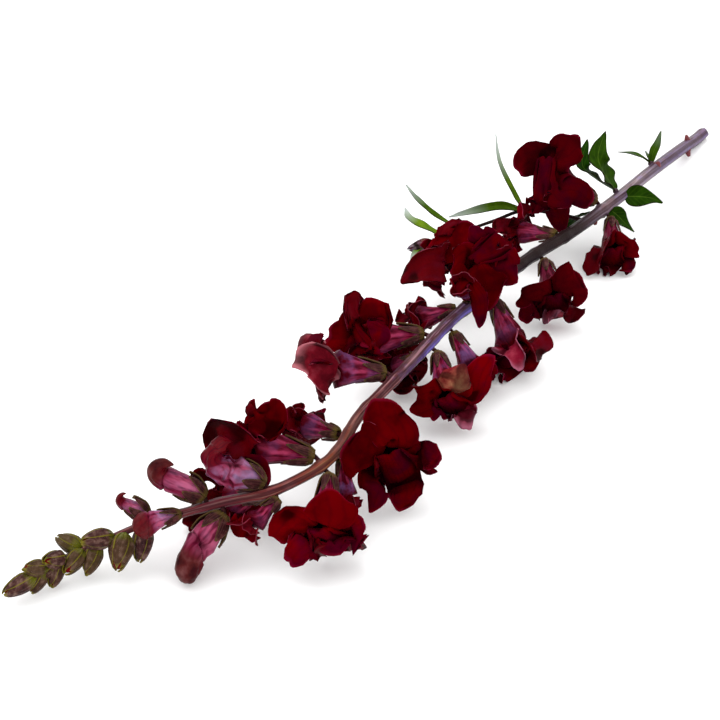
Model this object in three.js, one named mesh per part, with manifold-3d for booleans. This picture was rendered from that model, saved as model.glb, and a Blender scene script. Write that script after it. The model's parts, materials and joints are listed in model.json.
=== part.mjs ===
// A cut snapdragon stem lying on a flat surface: a bowed stem, a spike of closed buds at the tip,
// opening buds, and full two-lipped blooms in their sepals down to the leaves near the cut.
// Millimetres, +Z up. The tip points to -X, the cut end to +X, and z = 0 is the surface.
import * as THREE from 'three';
import { mergeVertices } from 'three/addons/utils/BufferGeometryUtils.js';
import Module from 'manifold-3d';

const wasm = await Module();
wasm.setup();

// ---- driving dimensions ----

const gap = 0.3; // between pieces that touch
const centring = [-3.9, -7.1, 0]; // moves the whole so that its middle stands over the origin

// The stem's centre line, from the last bud to the cut end.
const stemLine = [
  [-231, 18, 8], [-215, 16.5, 9], [-202, 10, 12], [-188, 3, 15], [-175, -6.5, 18], [-163, -15, 20],
  [-151, -25, 22], [-140, -30, 24], [-130, -32, 25], [-120, -31, 25], [-98, -23, 25], [-82, -20, 25],
  [-54, -15, 25], [-18, -8, 24.5], [6, -6, 24], [43, -2, 22.5], [82, -1, 20], [129, 4, 16],
  [168, 10, 12], [210, 16, 7], [235, 20, 2.8], [244, 21, 2.6],
];
// Its radius, as [distance from the tip, radius].
const stemRadii = [
  [0, 0.7], [40, 1.2], [78, 1.9], [110, 2.0], [200, 2.4], [300, 2.7], [420, 3.0], [500, 3.1],
];
const stemSides = 8;
const stemStep = 13; // between its rings
const spikeStep = 11;
const cutterStep = 7; // of the plain stem that the blooms are cut clear of
const ridgeDepth = 0.07; // of the radius
const spikeLength = 56; // the closed buds' stretch at the tip, a piece with its own green

// One bloom, before its own size and opening are applied.
const bloomForm = {
  tube: 19, // from the sepals' floor to the mouth
  baseRadius: 2.4,
  waistAt: 10,
  waistRadius: 4.6,
  mouthRadius: 7.4,
  flatten: 0.87, // side to side
  halfSkin: 0.42,
  floor: 0.6, // how far the tube's foot stands above the sepals' floor, whatever the size
  throat: 0.55, // how deep the tube is hollow, of its length
  throatNarrow: 0.5, // width of the hollow's floor, of the width at the mouth
  grain: 24, // steps in which a lobe's bend is summed up
};
const closedBelow = 0.3; // opening under which the lobes still meet
// A flower that hasn't opened: [share of the tube's length, share of the waist's radius].
const noseProfile = [[0.45, 1], [0.85, 1.12], [1.12, 1.05], [1.34, 0.72], [1.42, 0.25]];
const noseSides = 10;
const hookFrom = 0.5; // share of the tube's length at which a closed flower starts to hook
// Petals near the surface bend along it from this height, and the lowest are pressed flat on it.
const petalRest = { soft: 3, least: 0.25 };
// The five lobes: two above, three below. Angles run round the mouth from the top.
const lobeForm = [
  { centre: -40, half: 40, long: 22, sections: 4 },
  { centre: 40, half: 40, long: 22, sections: 4 },
  { centre: 112, half: 32, long: 17.5, sections: 3 },
  { centre: 180, half: 36, long: 18.5, sections: 3 },
  { centre: 248, half: 32, long: 17.5, sections: 3 },
];
// Where the rings of points lie: shares of the tube's length, then shares of the lobes' reach.
const tubeStops = [0, 0.55, 1];
const lobeStops = { fine: [0.25, 0.5, 0.76, 1], coarse: [0.34, 0.7, 1] };
const fineFrom = 0.87; // size from which a bloom has the finer rings
// How the lobes turn back as they open, in degrees from the flower's axis: where each starts at the
// mouth and where it ends open and shut, what chance adds, and over which share of it it turns.
const lobeTurn = {
  upper: { start: 12, open: 104, shut: -80, within: 0.8 },
  lower: { start: -55, open: 84, shut: -70, within: 0.5 },
  chance: 24,
};
const narrowest = 0.9; // radius that a lobe's edge keeps from the flower's axis
const notchDepth = { top: 12, corner: 6, lower: 11 }; // skin left at the notches between lobes

// The sepals round a bloom's foot and the flower stalk under them, before the bloom's own size.
const calyxForm = {
  reach: 2.8, // of the flower stalk, from the stem's skin
  stalkRadius: 0.75,
  knee: 1.5, // below the sepals' floor, where the stalk turns
  foot: 4.3, // round the sepals' floor
  halfSkin: 0.35,
  shoulder: 3.2, // heights above the sepals' floor, up the axis
  notch: 4.4,
  sepal: 9.5,
  flare: 0.9,
  soft: 1.5, // height under which sepals bend along the surface
};

// Blooms from the tip down: place along the stem, the way each faces (heading in plan and rise
// above the surface, degrees), its roll about its own axis, its size and how far it is open.
// seed picks the chances of its lobes, and spread is how far they turn back, 1 where left out.
// behind says that it makes way for its neighbours: the higher the number, the later it is cut.
// hook is how far the end of a closed flower bends up, or down where it is below 0.
const blooms = [
  { at: 50, heading: 122, rise: 40, roll: 0, size: 0.62, open: 0.1, seed: 3, hook: 2 },
  { at: 61, heading: 161, rise: 6, roll: 0, size: 0.7, open: 0.05, seed: 5, hook: 0.5 },
  { at: 71, heading: 127, rise: 38, roll: 0, size: 0.88, open: 0.2, seed: 7, hook: 3.5 },
  { at: 76, heading: -176, rise: -22, roll: 0, size: 0.95, open: 0.2, seed: 9, hook: -4 },
  { at: 93, heading: 134, rise: 32, roll: 150, size: 0.86, open: 0.5, seed: 11 },
  { at: 91, heading: 84, rise: -36, roll: 30, size: 0.85, open: 1, seed: 20, behind: 2 },
  { at: 96, heading: 178, rise: -16, roll: 0, size: 0.55, open: 0.6, seed: 17, behind: 1 },
  { at: 116, heading: -142, rise: -15, roll: -60, size: 1.0, open: 1, seed: 19 },
  { at: 117, heading: 132, rise: 16, roll: 150, size: 1.05, open: 1, seed: 24, spread: 1.1 },
  { at: 127, heading: -128, rise: -42, roll: 0, size: 0.6, open: 0.5, seed: 23, behind: 1 },
  { at: 139, heading: 92, rise: -12, roll: 90, size: 0.7, open: 1, seed: 25, behind: 1 },
  { at: 157, heading: -130, rise: -4, roll: -65, size: 1.12, open: 1, seed: 27 },
  { at: 178, heading: 147, rise: 16, roll: 150, size: 1.0, open: 1, seed: 29, spread: 0.7 },
  { at: 200, heading: 62, rise: -43, roll: 0, size: 0.72, open: 1, seed: 31, behind: 1 },
  { at: 206, heading: -130, rise: -16, roll: -40, size: 0.98, open: 1, seed: 33 },
  { at: 212, heading: 146, rise: 5, roll: 150, size: 1.05, open: 1, seed: 35 },
  { at: 224, heading: -108, rise: -34, roll: 0, size: 0.7, open: 0.8, seed: 37, behind: 1 },
  { at: 242, heading: -165, rise: 50, roll: 0, size: 0.62, open: 0.5, seed: 39 },
  { at: 239, heading: 138, rise: -14, roll: 150, size: 0.75, open: 1, seed: 41, behind: 2 },
  { at: 256, heading: -122, rise: -22, roll: -70, size: 1.05, open: 1, seed: 43 },
  { at: 271, heading: -176, rise: 44, roll: -30, size: 0.88, open: 1, seed: 45 },
  { at: 300, heading: -134, rise: -14, roll: -60, size: 0.98, open: 1, seed: 47 },
  { at: 287, heading: 134, rise: 2, roll: 150, size: 1.26, open: 1, seed: 49, spread: 0.85 },
  { at: 324, heading: 100, rise: -10, roll: 0, size: 0.8, open: 1, seed: 51, behind: 1, spread: 0.8 },
  { at: 361, heading: 144, rise: 32, roll: 150, size: 1.2, open: 1, seed: 53, spread: 0.9 },
  { at: 361, heading: -142, rise: -16, roll: -60, size: 0.9, open: 1, seed: 55 },
];

// Closed buds from the very tip down, with their own length and width, and the length of stalk.
const buds = [
  { at: 5, heading: 160, rise: -16, long: 11.5, wide: 6.2, stalk: 0 },
  { at: 11, heading: 171, rise: 28, long: 9, wide: 5.6, stalk: 0.8 },
  { at: 18, heading: -177, rise: 28, long: 9, wide: 6, stalk: 0.9 },
  { at: 14, heading: 171, rise: -26, long: 8, wide: 5.2, stalk: 0.6 },
  { at: 10, heading: 177, rise: -44, long: 8.5, wide: 5, stalk: 0.8 },
  { at: 16, heading: -162, rise: -46, long: 8.5, wide: 5.4, stalk: 0.8 },
  { at: 25, heading: 102, rise: 6, long: 9.5, wide: 6.4, stalk: 1.5 },
  { at: 25, heading: -171, rise: -17, long: 9.5, wide: 6, stalk: 0.9 },
  { at: 31, heading: -168, rise: -41, long: 10.5, wide: 6.4, stalk: 1 },
  { at: 37, heading: 168, rise: 19, long: 12, wide: 7, stalk: 1.2 },
  { at: 41, heading: -147, rise: -26, long: 13, wide: 8.6, stalk: 1.4 },
  { at: 49, heading: -156, rise: -53, long: 12, wide: 7, stalk: 1.2 },
];
const budSides = 6;
const budProfile = [[0, 0.45], [0.3, 1], [0.72, 0.74], [1, 0.16]];
const budRibs = 0.13; // how far the sepals' edges stand out, of the radius
const budStalk = { radius: 0.8, into: 1.2, sides: 4 };

// Leaves: the line of the midrib from root to tip, the widest width, and the blade's twist.
const bladeForm = { skin: 0.75, foot: 0.9, fold: 0.28, steps: 5 };
const leaves = {
  leaf_01: [
    { rib: [[131, 6.9, 18.3], [130, 12, 24], [130, 18, 32], [144, 24, 40]], wide: 7.5, twist: 30 },
    { rib: [[131, 6.9, 18.3], [124, 14, 25], [121, 21, 31], [133, 27, 39]], wide: 6.5, twist: -30 },
  ],
  leaf_02: [
    {
      rib: [[133.5, 2.6, 15.6], [136.5, -3.5, 16.5], [140.5, -8, 15.5], [145, -12, 12.5]],
      wide: 10.5,
      twist: 10,
    },
  ],
  leaf_03: [
    { rib: [[117, 0.6, 16], [116.5, -4, 14.5], [118, -7.5, 11], [120, -12, 7]], wide: 8, twist: 0 },
  ],
  leaf_04: [
    { rib: [[107, 3.8, 17.4], [102, 9, 15], [96, 9.5, 11], [90, 8, 6]], wide: 8.5, twist: 30 },
  ],
  base_shoot: [
    { rib: [[178, 15, 12], [181, 16, 17], [186, 17, 20], [194, 20, 23]], wide: 4.6, twist: 20 },
    { rib: [[178, 15, 12], [174, 18, 16], [171, 22, 18], [166, 28, 19]], wide: 3.8, twist: 0 },
    { rib: [[178, 15, 12], [177.5, 17, 16], [178, 19, 18]], wide: 2, twist: 0 },
  ],
  side_shoot: [
    { rib: [[90.5, 33, 15], [93.5, 41, 20], [101, 56, 29], [113, 68, 36]], wide: 3.6, twist: 0 },
    { rib: [[90.5, 33, 15], [79.5, 39, 20], [65, 45.5, 21], [56, 52.5, 19]], wide: 5.4, twist: 10 },
    { rib: [[51, 50.7, 10.6], [46.5, 59.5, 15], [45.5, 68, 17], [50.5, 75, 18]], wide: 5.4, twist: 0 },
    { rib: [[57.6, 45.2, 13], [53.7, 59.7, 19], [55, 72, 23], [59, 81.5, 25]], wide: 3.4, twist: 0 },
    { rib: [[46, 55.3, 8.6], [39, 58.3, 5.5], [32, 56.2, 5]], wide: 3.2, twist: 0 },
  ],
};
const nodeSwell = 1.5; // radius of the joint that several leaves share
const shootStalk = {
  line: [[95, 2, 19], [95, 18, 17], [90.5, 33, 15], [73, 38, 15], [57.6, 45.2, 13], [45, 56.3, 8]],
  radius: 0.95,
  sides: 5,
  steps: 10,
};
const shootBud = { base: [46, 55.3, 8.6], tip: [38.8, 62.4, 5], wide: 5.2 };

// Stubs of leaf stalks cut from the lower stem: place along it, turn round it from the top, size.
const stubProfile = [[0, 1.1], [0.6, 0.9], [1, 0.6]];
const stubs = [
  { at: 474, turn: -15, long: 3.2, radius: 1.5 },
  { at: 470, turn: 140, long: 3.2, radius: 1.6 },
  { at: 428, turn: 20, long: 1.6, radius: 1.7 },
  { at: 352, turn: 150, long: 1.4, radius: 1.4 },
];

// ---- small helpers ----

const rad = THREE.MathUtils.degToRad;
const lerp = THREE.MathUtils.lerp;
const clamp = THREE.MathUtils.clamp;
const smooth = (t) => THREE.MathUtils.smoothstep(t, 0, 1);

// Repeatable numbers from -1 to 1.
function dice(seed) {
  let state = seed * 7919 + 17;
  return () => {
    state = (state * 16807) % 2147483647;
    return (state / 2147483647) * 2 - 1;
  };
}

function curveThrough(points) {
  return new THREE.CatmullRomCurve3(points.map((p) => new THREE.Vector3(...p)), false, 'centripetal');
}

// A value read off a short list of [place, value] pairs.
function along(pairs, place) {
  for (let i = 1; i < pairs.length; i++) {
    const [end, last] = pairs[i];
    const [start, first] = pairs[i - 1];
    if (place <= end) return lerp(first, last, clamp((place - start) / (end - start), 0, 1));
  }
  return pairs[pairs.length - 1][1];
}

function meshGeometry(points, faces) {
  const geometry = new THREE.BufferGeometry();
  const places = points.flatMap((p) => [p.x, p.y, p.z]);
  geometry.setAttribute('position', new THREE.Float32BufferAttribute(places, 3));
  geometry.setIndex(faces.flat());
  return geometry;
}

// Nothing reaches below the surface: a point that would is laid on it.
function layDown(point) {
  point.z = Math.max(point.z, 0);
  return point;
}

// A petal that would dip under the surface bends along it instead.
function bendUp(point, soft, least) {
  if (point.z < soft) point.z = Math.max(least, soft * Math.exp((point.z - soft) / soft));
  return point;
}

// ---- skins and lofts ----

function middleOf(ring) {
  return ring.reduce((sum, p) => sum.add(p), new THREE.Vector3()).divideScalar(ring.length);
}

function rowNormals(rows) {
  return rows.map((row, j) => row.map((point, i) => {
    const next = row[(i + 1) % row.length];
    const last = row[(i + row.length - 1) % row.length];
    const above = rows[Math.min(j + 1, rows.length - 1)][i];
    const below = rows[Math.max(j - 1, 0)][i];
    const around = next.clone().sub(last);
    const outward = above.clone().sub(below).cross(around);
    return outward.normalize();
  }));
}

// A cup of skin: rows of points round an axis, given thickness on both sides, closed at its foot
// and hollow from its rim down to the row innerFrom, and on down to a throat where it has one.
function cup(rows, halfSkin, innerFrom, throat) {
  const normals = rowNormals(rows);
  const count = rows[0].length;
  const last = rows.length - 1;
  const points = [];
  const faces = [];
  const put = (ring) => {
    points.push(...ring);
    return points.length - ring.length;
  };
  const shifted = (j, by) => rows[j].map((p, i) => p.clone().addScaledVector(normals[j][i], by));
  const band = (low, high, flip) => {
    for (let i = 0; i < count; i++) {
      const k = (i + 1) % count;
      if (flip) faces.push([low + i, low + k, high + i], [low + k, high + k, high + i]);
      else faces.push([low + i, high + i, low + k], [low + k, high + i, high + k]);
    }
  };

  const outer = rows.map((_, j) => put(shifted(j, halfSkin)));
  for (let j = 0; j < last; j++) band(outer[j], outer[j + 1], false);

  const inner = [];
  for (let j = innerFrom; j <= last; j++) inner[j] = put(shifted(j, -halfSkin));
  for (let j = innerFrom; j < last; j++) band(inner[j], inner[j + 1], true);
  for (let i = 0; i < count; i++) {
    const k = (i + 1) % count;
    faces.push([outer[last] + i, inner[last] + i, outer[last] + k]);
    faces.push([outer[last] + k, inner[last] + i, inner[last] + k]);
  }

  let lowest = inner[innerFrom];
  let lowestRing = points.slice(lowest, lowest + count);
  if (throat) {
    const centre = middleOf(lowestRing);
    const narrowed = (p) => p.clone().sub(centre).multiplyScalar(bloomForm.throatNarrow).add(throat);
    lowestRing = lowestRing.map(narrowed);
    const ring = put(lowestRing);
    band(ring, lowest, true);
    lowest = ring;
  }
  const floorPoint = put([middleOf(lowestRing)]);
  const foot = put([middleOf(rows[0])]);
  for (let i = 0; i < count; i++) {
    const k = (i + 1) % count;
    faces.push([floorPoint, lowest + k, lowest + i]);
    faces.push([foot, outer[0] + i, outer[0] + k]);
  }
  return meshGeometry(points, faces);
}

// A solid through rings of points, closed at both ends.
function loft(rings) {
  const count = rings[0].length;
  const points = rings.flat();
  const faces = [];
  for (let j = 0; j < rings.length - 1; j++) {
    for (let i = 0; i < count; i++) {
      const k = (i + 1) % count;
      const low = j * count;
      const high = low + count;
      faces.push([low + i, high + i, low + k], [low + k, high + i, high + k]);
    }
  }
  const close = (ring) => {
    points.push(middleOf(ring));
    return points.length - 1;
  };
  const foot = close(rings[0]);
  const head = close(rings[rings.length - 1]);
  const top = (rings.length - 1) * count;
  for (let i = 0; i < count; i++) {
    const k = (i + 1) % count;
    faces.push([foot, i, k]);
    faces.push([head, top + k, top + i]);
  }
  return meshGeometry(points, faces);
}

// ---- joining and cutting ----

function solidOf(geometry) {
  const bare = new THREE.BufferGeometry();
  bare.setAttribute('position', geometry.getAttribute('position').clone());
  bare.setIndex(geometry.getIndex().clone());
  const merged = mergeVertices(bare, 1e-4);
  return new wasm.Manifold(new wasm.Mesh({
    numProp: 3,
    vertProperties: new Float32Array(merged.getAttribute('position').array),
    triVerts: new Uint32Array(merged.getIndex().array),
  }));
}

function geometryOf(solid) {
  const { vertProperties, triVerts, numProp } = solid.getMesh();
  const geometry = new THREE.BufferGeometry();
  const count = vertProperties.length / numProp;
  const positions = new Float32Array(count * 3);
  for (let i = 0; i < count; i++) {
    for (let k = 0; k < 3; k++) positions[i * 3 + k] = vertProperties[i * numProp + k];
  }
  geometry.setAttribute('position', new THREE.BufferAttribute(positions, 3));
  geometry.setIndex(new THREE.BufferAttribute(new Uint32Array(triVerts), 1));
  return geometry;
}

// The largest body of a solid: loose scraps are dropped.
function largest(solid) {
  return solid.decompose().reduce((best, piece) => (piece.volume() > best.volume() ? piece : best));
}

function joined(geometries) {
  const whole = geometries.map(solidOf).reduce((sum, solid) => sum.add(solid));
  return geometryOf(largest(whole));
}

// A geometry cut clear of its neighbours, which come with the gap already round them.
function clearOf(geometry, neighbours) {
  let solid = solidOf(geometry);
  let cut = false;
  for (const neighbour of neighbours) {
    const shared = solid.intersect(neighbour.bare);
    if (shared.isEmpty() || shared.volume() < 1e-4) continue;
    solid = solid.subtract(neighbour.wide).subtract(neighbour.bare);
    cut = true;
  }
  return cut ? geometryOf(largest(solid)) : geometry;
}

// ---- the stem ----

const stemCurve = curveThrough(stemLine);
stemCurve.arcLengthDivisions = 800;
const stemLength = stemCurve.getLength();

function stemPlace(at) {
  const u = clamp(at / stemLength, 0, 1);
  return { point: stemCurve.getPointAt(u), along: stemCurve.getTangentAt(u), radius: along(stemRadii, at) };
}

// A ring round the stem with low ridges running along it.
function stemRing(at, extra) {
  const { point, along: ahead, radius } = stemPlace(at);
  const side = new THREE.Vector3(0, 0, 1).cross(ahead).normalize();
  const up = ahead.clone().cross(side).normalize();
  const ring = [];
  for (let i = 0; i < stemSides; i++) {
    const angle = (i / stemSides) * Math.PI * 2;
    const reach = radius * (1 + ridgeDepth * (i % 2 ? -1 : 1)) + extra;
    ring.push(layDown(point.clone()
      .addScaledVector(up, Math.cos(angle) * reach)
      .addScaledVector(side, Math.sin(angle) * reach)));
  }
  return ring;
}

function stemStretch(from, to, step, extra = 0) {
  const rings = [];
  const steps = Math.round((to - from) / step);
  for (let j = 0; j <= steps; j++) rings.push(stemRing(lerp(from, to, j / steps), extra));
  return loft(rings);
}

// Rings of a tapering limb from one point to another, as [share of the way, share of the radius].
function limb(from, to, radius, sides, profile, ribs = 0) {
  const axis = to.clone().sub(from);
  const ahead = axis.clone().normalize();
  const side = new THREE.Vector3(0, 0, 1).cross(ahead).normalize();
  const up = ahead.clone().cross(side);
  return loft(profile.map(([share, width], j) => {
    const ring = [];
    for (let i = 0; i < sides; i++) {
      const angle = ((i + j * 0.25) / sides) * Math.PI * 2;
      const reach = radius * width * (1 + (i % 2 ? -ribs : ribs));
      ring.push(layDown(from.clone().addScaledVector(axis, share)
        .addScaledVector(up, Math.cos(angle) * reach)
        .addScaledVector(side, Math.sin(angle) * reach)));
    }
    return ring;
  }));
}

function stubGeometry(stub) {
  const { point, along: ahead, radius } = stemPlace(stub.at);
  const side = new THREE.Vector3(0, 0, 1).cross(ahead).normalize();
  const out = ahead.clone().cross(side).applyAxisAngle(ahead, rad(stub.turn));
  const from = point.clone().addScaledVector(out, radius * 0.4);
  const to = point.clone().addScaledVector(out, radius + stub.long);
  to.addScaledVector(ahead, -stub.long * 0.4);
  return limb(from, to, stub.radius, budSides, stubProfile);
}

function stemGeometry() {
  return joined([stemStretch(spikeLength + gap, stemLength, stemStep), ...stubs.map(stubGeometry)]);
}

// ---- the closed buds ----

function headingOf(piece) {
  const heading = rad(piece.heading);
  const rise = rad(piece.rise);
  return new THREE.Vector3(
    Math.cos(rise) * Math.cos(heading), Math.cos(rise) * Math.sin(heading), Math.sin(rise));
}

function budGeometry(bud) {
  const { point } = stemPlace(bud.at);
  const ahead = headingOf(bud);
  const from = point.clone().addScaledVector(ahead, bud.stalk);
  const to = from.clone().addScaledVector(ahead, bud.long);
  return limb(from, to, bud.wide / 2, budSides, budProfile, budRibs);
}

function budStalkGeometry(bud) {
  const { point } = stemPlace(bud.at);
  const to = point.clone().addScaledVector(headingOf(bud), bud.stalk + budStalk.into);
  return limb(point, to, budStalk.radius, budStalk.sides, [[0, 1], [1, 1]]);
}

function spikeGeometry() {
  const stalks = buds.filter((bud) => bud.stalk > 1).map(budStalkGeometry);
  return joined([stemStretch(0, spikeLength, spikeStep), ...stalks, ...buds.map(budGeometry)]);
}

// ---- leaves ----

// A blade folded along its midrib, the same thickness all over, from a narrow foot to its point.
function bladeGeometry({ rib, wide, twist }) {
  const curve = curveThrough(rib);
  const { foot, steps } = bladeForm;
  const skin = bladeForm.skin / 2;
  const rings = [];
  for (let j = 0; j <= steps; j++) {
    const t = j / steps;
    const point = curve.getPoint(t);
    const ahead = curve.getTangent(t);
    const side = ahead.clone().cross(new THREE.Vector3(0, 0, 1)).normalize();
    side.applyAxisAngle(ahead, rad(twist));
    const face = side.clone().cross(ahead).normalize();
    const half = 0.5 * (foot + (wide - foot) * Math.sin(Math.PI * t ** 0.8) ** 0.9);
    const fold = half * bladeForm.fold;
    const spot = (across, lift) => layDown(point.clone()
      .addScaledVector(side, across).addScaledVector(face, lift));
    rings.push([
      spot(half, fold + skin), spot(0, skin), spot(-half, fold + skin),
      spot(-half, fold - skin), spot(0, -skin), spot(half, fold - skin),
    ]);
  }
  return loft(rings);
}

function stalkGeometry({ line, radius, sides, steps }) {
  const curve = curveThrough(line);
  const rings = [];
  for (let j = 0; j <= steps; j++) {
    const point = curve.getPoint(j / steps);
    const ahead = curve.getTangent(j / steps);
    const side = new THREE.Vector3(0, 0, 1).cross(ahead).normalize();
    const up = ahead.clone().cross(side);
    const ring = [];
    for (let i = 0; i < sides; i++) {
      const angle = (i / sides) * Math.PI * 2;
      ring.push(point.clone()
        .addScaledVector(up, Math.cos(angle) * radius)
        .addScaledVector(side, Math.sin(angle) * radius));
    }
    rings.push(ring);
  }
  return loft(rings);
}

// The swelling where several leaves leave the stem together.
function jointGeometry(rib) {
  const foot = new THREE.Vector3(...rib[0]);
  const reach = new THREE.Vector3(nodeSwell, 0, 0);
  const swelling = [[0, 0.5], [0.5, 1], [1, 0.5]];
  return limb(foot.clone().sub(reach), foot.clone().add(reach), nodeSwell, budSides, swelling);
}

function leafGeometry(name) {
  const blades = leaves[name].map(bladeGeometry);
  if (blades.length === 1) return blades[0];
  if (name !== 'side_shoot') return joined([...blades, jointGeometry(leaves[name][0].rib)]);
  const from = new THREE.Vector3(...shootBud.base);
  const to = new THREE.Vector3(...shootBud.tip);
  const bud = limb(from, to, shootBud.wide / 2, budSides, budProfile, budRibs);
  return joined([stalkGeometry(shootStalk), bud, ...blades]);
}

// ---- one bloom ----

// The frame a flower is built in: z along its own axis, y to its upper lip, x to its side.
function bloomFrame(bloom) {
  const { point, along: toCut, radius } = stemPlace(bloom.at);
  const axis = headingOf(bloom);
  const outward = axis.clone().addScaledVector(toCut, -axis.dot(toCut)).normalize();
  const upper = toCut.clone().negate().addScaledVector(axis, toCut.dot(axis)).normalize();
  upper.applyAxisAngle(axis, rad(bloom.roll));
  const side = upper.clone().cross(axis).normalize();
  const lean = Math.sqrt(Math.max(0, 1 - axis.dot(outward) ** 2));
  const reach = Math.max(calyxForm.reach, calyxForm.foot * lean) * bloom.size;
  const base = point.clone().addScaledVector(outward, radius + gap + reach);
  const knee = base.clone().addScaledVector(axis, -calyxForm.knee * bloom.size);
  const height = knee.clone().sub(point).dot(outward);
  const root = knee.clone().addScaledVector(outward, radius + gap * 1.3 - height);
  return { base, knee, root, axis, outward, upper, side };
}

function placed(frame, x, y, z) {
  return frame.base.clone()
    .addScaledVector(frame.side, x)
    .addScaledVector(frame.upper, y)
    .addScaledVector(frame.axis, z);
}

// What chance gives each lobe of one bloom.
function lobesOf(bloom) {
  const roll = dice(bloom.seed);
  return lobeForm.map((lobe, i) => ({
    ...lobe,
    upper: i < 2,
    long: lobe.long * (1 + 0.14 * roll()),
    turn: ((i < 2 ? lobeTurn.upper : lobeTurn.lower).open + lobeTurn.chance * roll()) * (bloom.spread ?? 1),
    wave: 1.2 + 0.8 * roll(),
    phase: Math.PI * roll(),
    cupped: 2.2 * roll(),
  }));
}

// The columns round a bloom: some to each lobe, the first of each on a notch.
function columnsOf(lobes) {
  const columns = [];
  lobes.forEach((lobe, i) => {
    for (let k = 0; k < lobe.sections; k++) {
      const across = (k / lobe.sections) * 2 - 1;
      columns.push({ angle: lobe.centre + across * lobe.half, across, lobe: i });
    }
  });
  return columns;
}

// A lobe's value, eased into its neighbour's near the notch between them.
function shared(lobes, column, key) {
  const own = lobes[column.lobe][key];
  const step = column.across < 0 ? lobes.length - 1 : 1;
  const other = lobes[(column.lobe + step) % lobes.length][key];
  const share = 0.5 * smooth((Math.abs(column.across) - 0.4) / 0.6);
  return lerp(own, other, share);
}

function lobeReach(lobes, column, bloom) {
  const lobe = lobes[column.lobe];
  const before = column.across < 0;
  const notchIndex = before ? column.lobe : (column.lobe + 1) % lobes.length;
  const { corner, top, lower } = notchDepth;
  const notch = [corner, top, corner, lower, lower][notchIndex];
  const round = Math.sqrt(Math.max(0, 1 - Math.abs(column.across) ** 2.6));
  const grown = lerp(0.5, 1, bloom.open);
  return (notch + (lobe.long - notch) * round) * grown;
}

// The skin's middle line from foot to rim in one column, as [radius, height] pairs.
function columnLine(bloom, lobes, column, stops) {
  const { size, open } = bloom;
  const { tube, baseRadius, waistAt, waistRadius, mouthRadius } = bloomForm;
  const line = [];
  const mouth = lerp(waistRadius, mouthRadius, smooth(open * 1.4));
  for (const t of tubeStops) {
    const z = tube * t;
    const r = along([[0, baseRadius], [waistAt, waistRadius], [tube, mouth]], z);
    line.push([r * size, bloomForm.floor + z * size]);
  }
  const fromTop = Math.abs(((column.angle + 540) % 360) - 180);
  const below = smooth((fromTop - 70) / 45);
  const reach = lobeReach(lobes, column, bloom) * size;
  const { upper, lower } = lobeTurn;
  const start = lerp(upper.start * open, lower.start, below);
  const end = lerp(lerp(upper.shut, lower.shut, below), shared(lobes, column, 'turn'), smooth(open));
  const turned = lerp(upper.within, lower.within, below);
  const bendAt = (q) => rad(lerp(start, end, smooth(q / turned)));
  const { grain } = bloomForm;
  const lobe = lobes[column.lobe];
  const ruffle = lobe.wave * Math.sin(column.across * 4.2 + lobe.phase) + lobe.cupped * column.across ** 2;
  const inner = smooth((1 - Math.abs(column.across)) * 3);
  let [r, z] = line[line.length - 1];
  let done = 0;
  for (const stop of stops) {
    const upTo = Math.round(stop * grain);
    for (; done < upTo; done++) {
      const angle = bendAt((done + 0.5) / grain);
      r = Math.max(r + (Math.sin(angle) * reach) / grain, narrowest * size);
      z += (Math.cos(angle) * reach) / grain;
    }
    const angle = bendAt(stop);
    const lift = ruffle * stop ** 2 * open * size * inner;
    line.push([Math.max(r + lift * Math.cos(angle), narrowest * size), z - lift * Math.sin(angle)]);
  }
  return line;
}

function corollaRows(bloom, frame) {
  const lobes = lobesOf(bloom);
  const columns = columnsOf(lobes);
  const small = bloom.behind || bloom.size < fineFrom;
  const stops = small ? lobeStops.coarse : lobeStops.fine;
  const lines = columns.map((column) => columnLine(bloom, lobes, column, stops));
  return lines[0].map((_, j) => columns.map((column, i) => {
    const [r, z] = lines[i][j];
    const angle = rad(column.angle);
    const x = r * Math.sin(angle) * bloomForm.flatten;
    return bendUp(placed(frame, x, r * Math.cos(angle), z), petalRest.soft, petalRest.least);
  }));
}

// An opening bud's petals still fold over each other in one solid nose, hooked at its end.
function closedCorolla(bloom, frame, extraSkin) {
  const { size, hook } = bloom;
  const { tube, baseRadius, waistRadius, floor, flatten, halfSkin } = bloomForm;
  const rings = [[0, baseRadius * size], ...noseProfile.map(([share, wide]) => [
    share, wide * waistRadius * size + halfSkin])];
  return loft(rings.map(([share, radius]) => {
    const drift = hook * Math.max(0, share - hookFrom) ** 2 * 2;
    const r = radius + extraSkin;
    const ring = [];
    for (let i = 0; i < noseSides; i++) {
      const angle = (i / noseSides) * Math.PI * 2;
      const x = r * Math.sin(angle) * flatten;
      const y = r * Math.cos(angle) + drift;
      ring.push(layDown(placed(frame, x, y, floor + tube * share * size)));
    }
    return ring;
  }));
}

// An open bloom is hollow down its throat.
function corollaGeometry(bloom, extraSkin = 0) {
  const frame = bloomFrame(bloom);
  if (bloom.open < closedBelow) return closedCorolla(bloom, frame, extraSkin);
  const rows = corollaRows(bloom, frame);
  const throat = placed(frame, 0, 0, bloomForm.floor + bloomForm.tube * bloomForm.throat * bloom.size);
  return cup(rows, bloomForm.halfSkin + extraSkin, 2, throat);
}

// ---- its sepals and stalk ----

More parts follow.
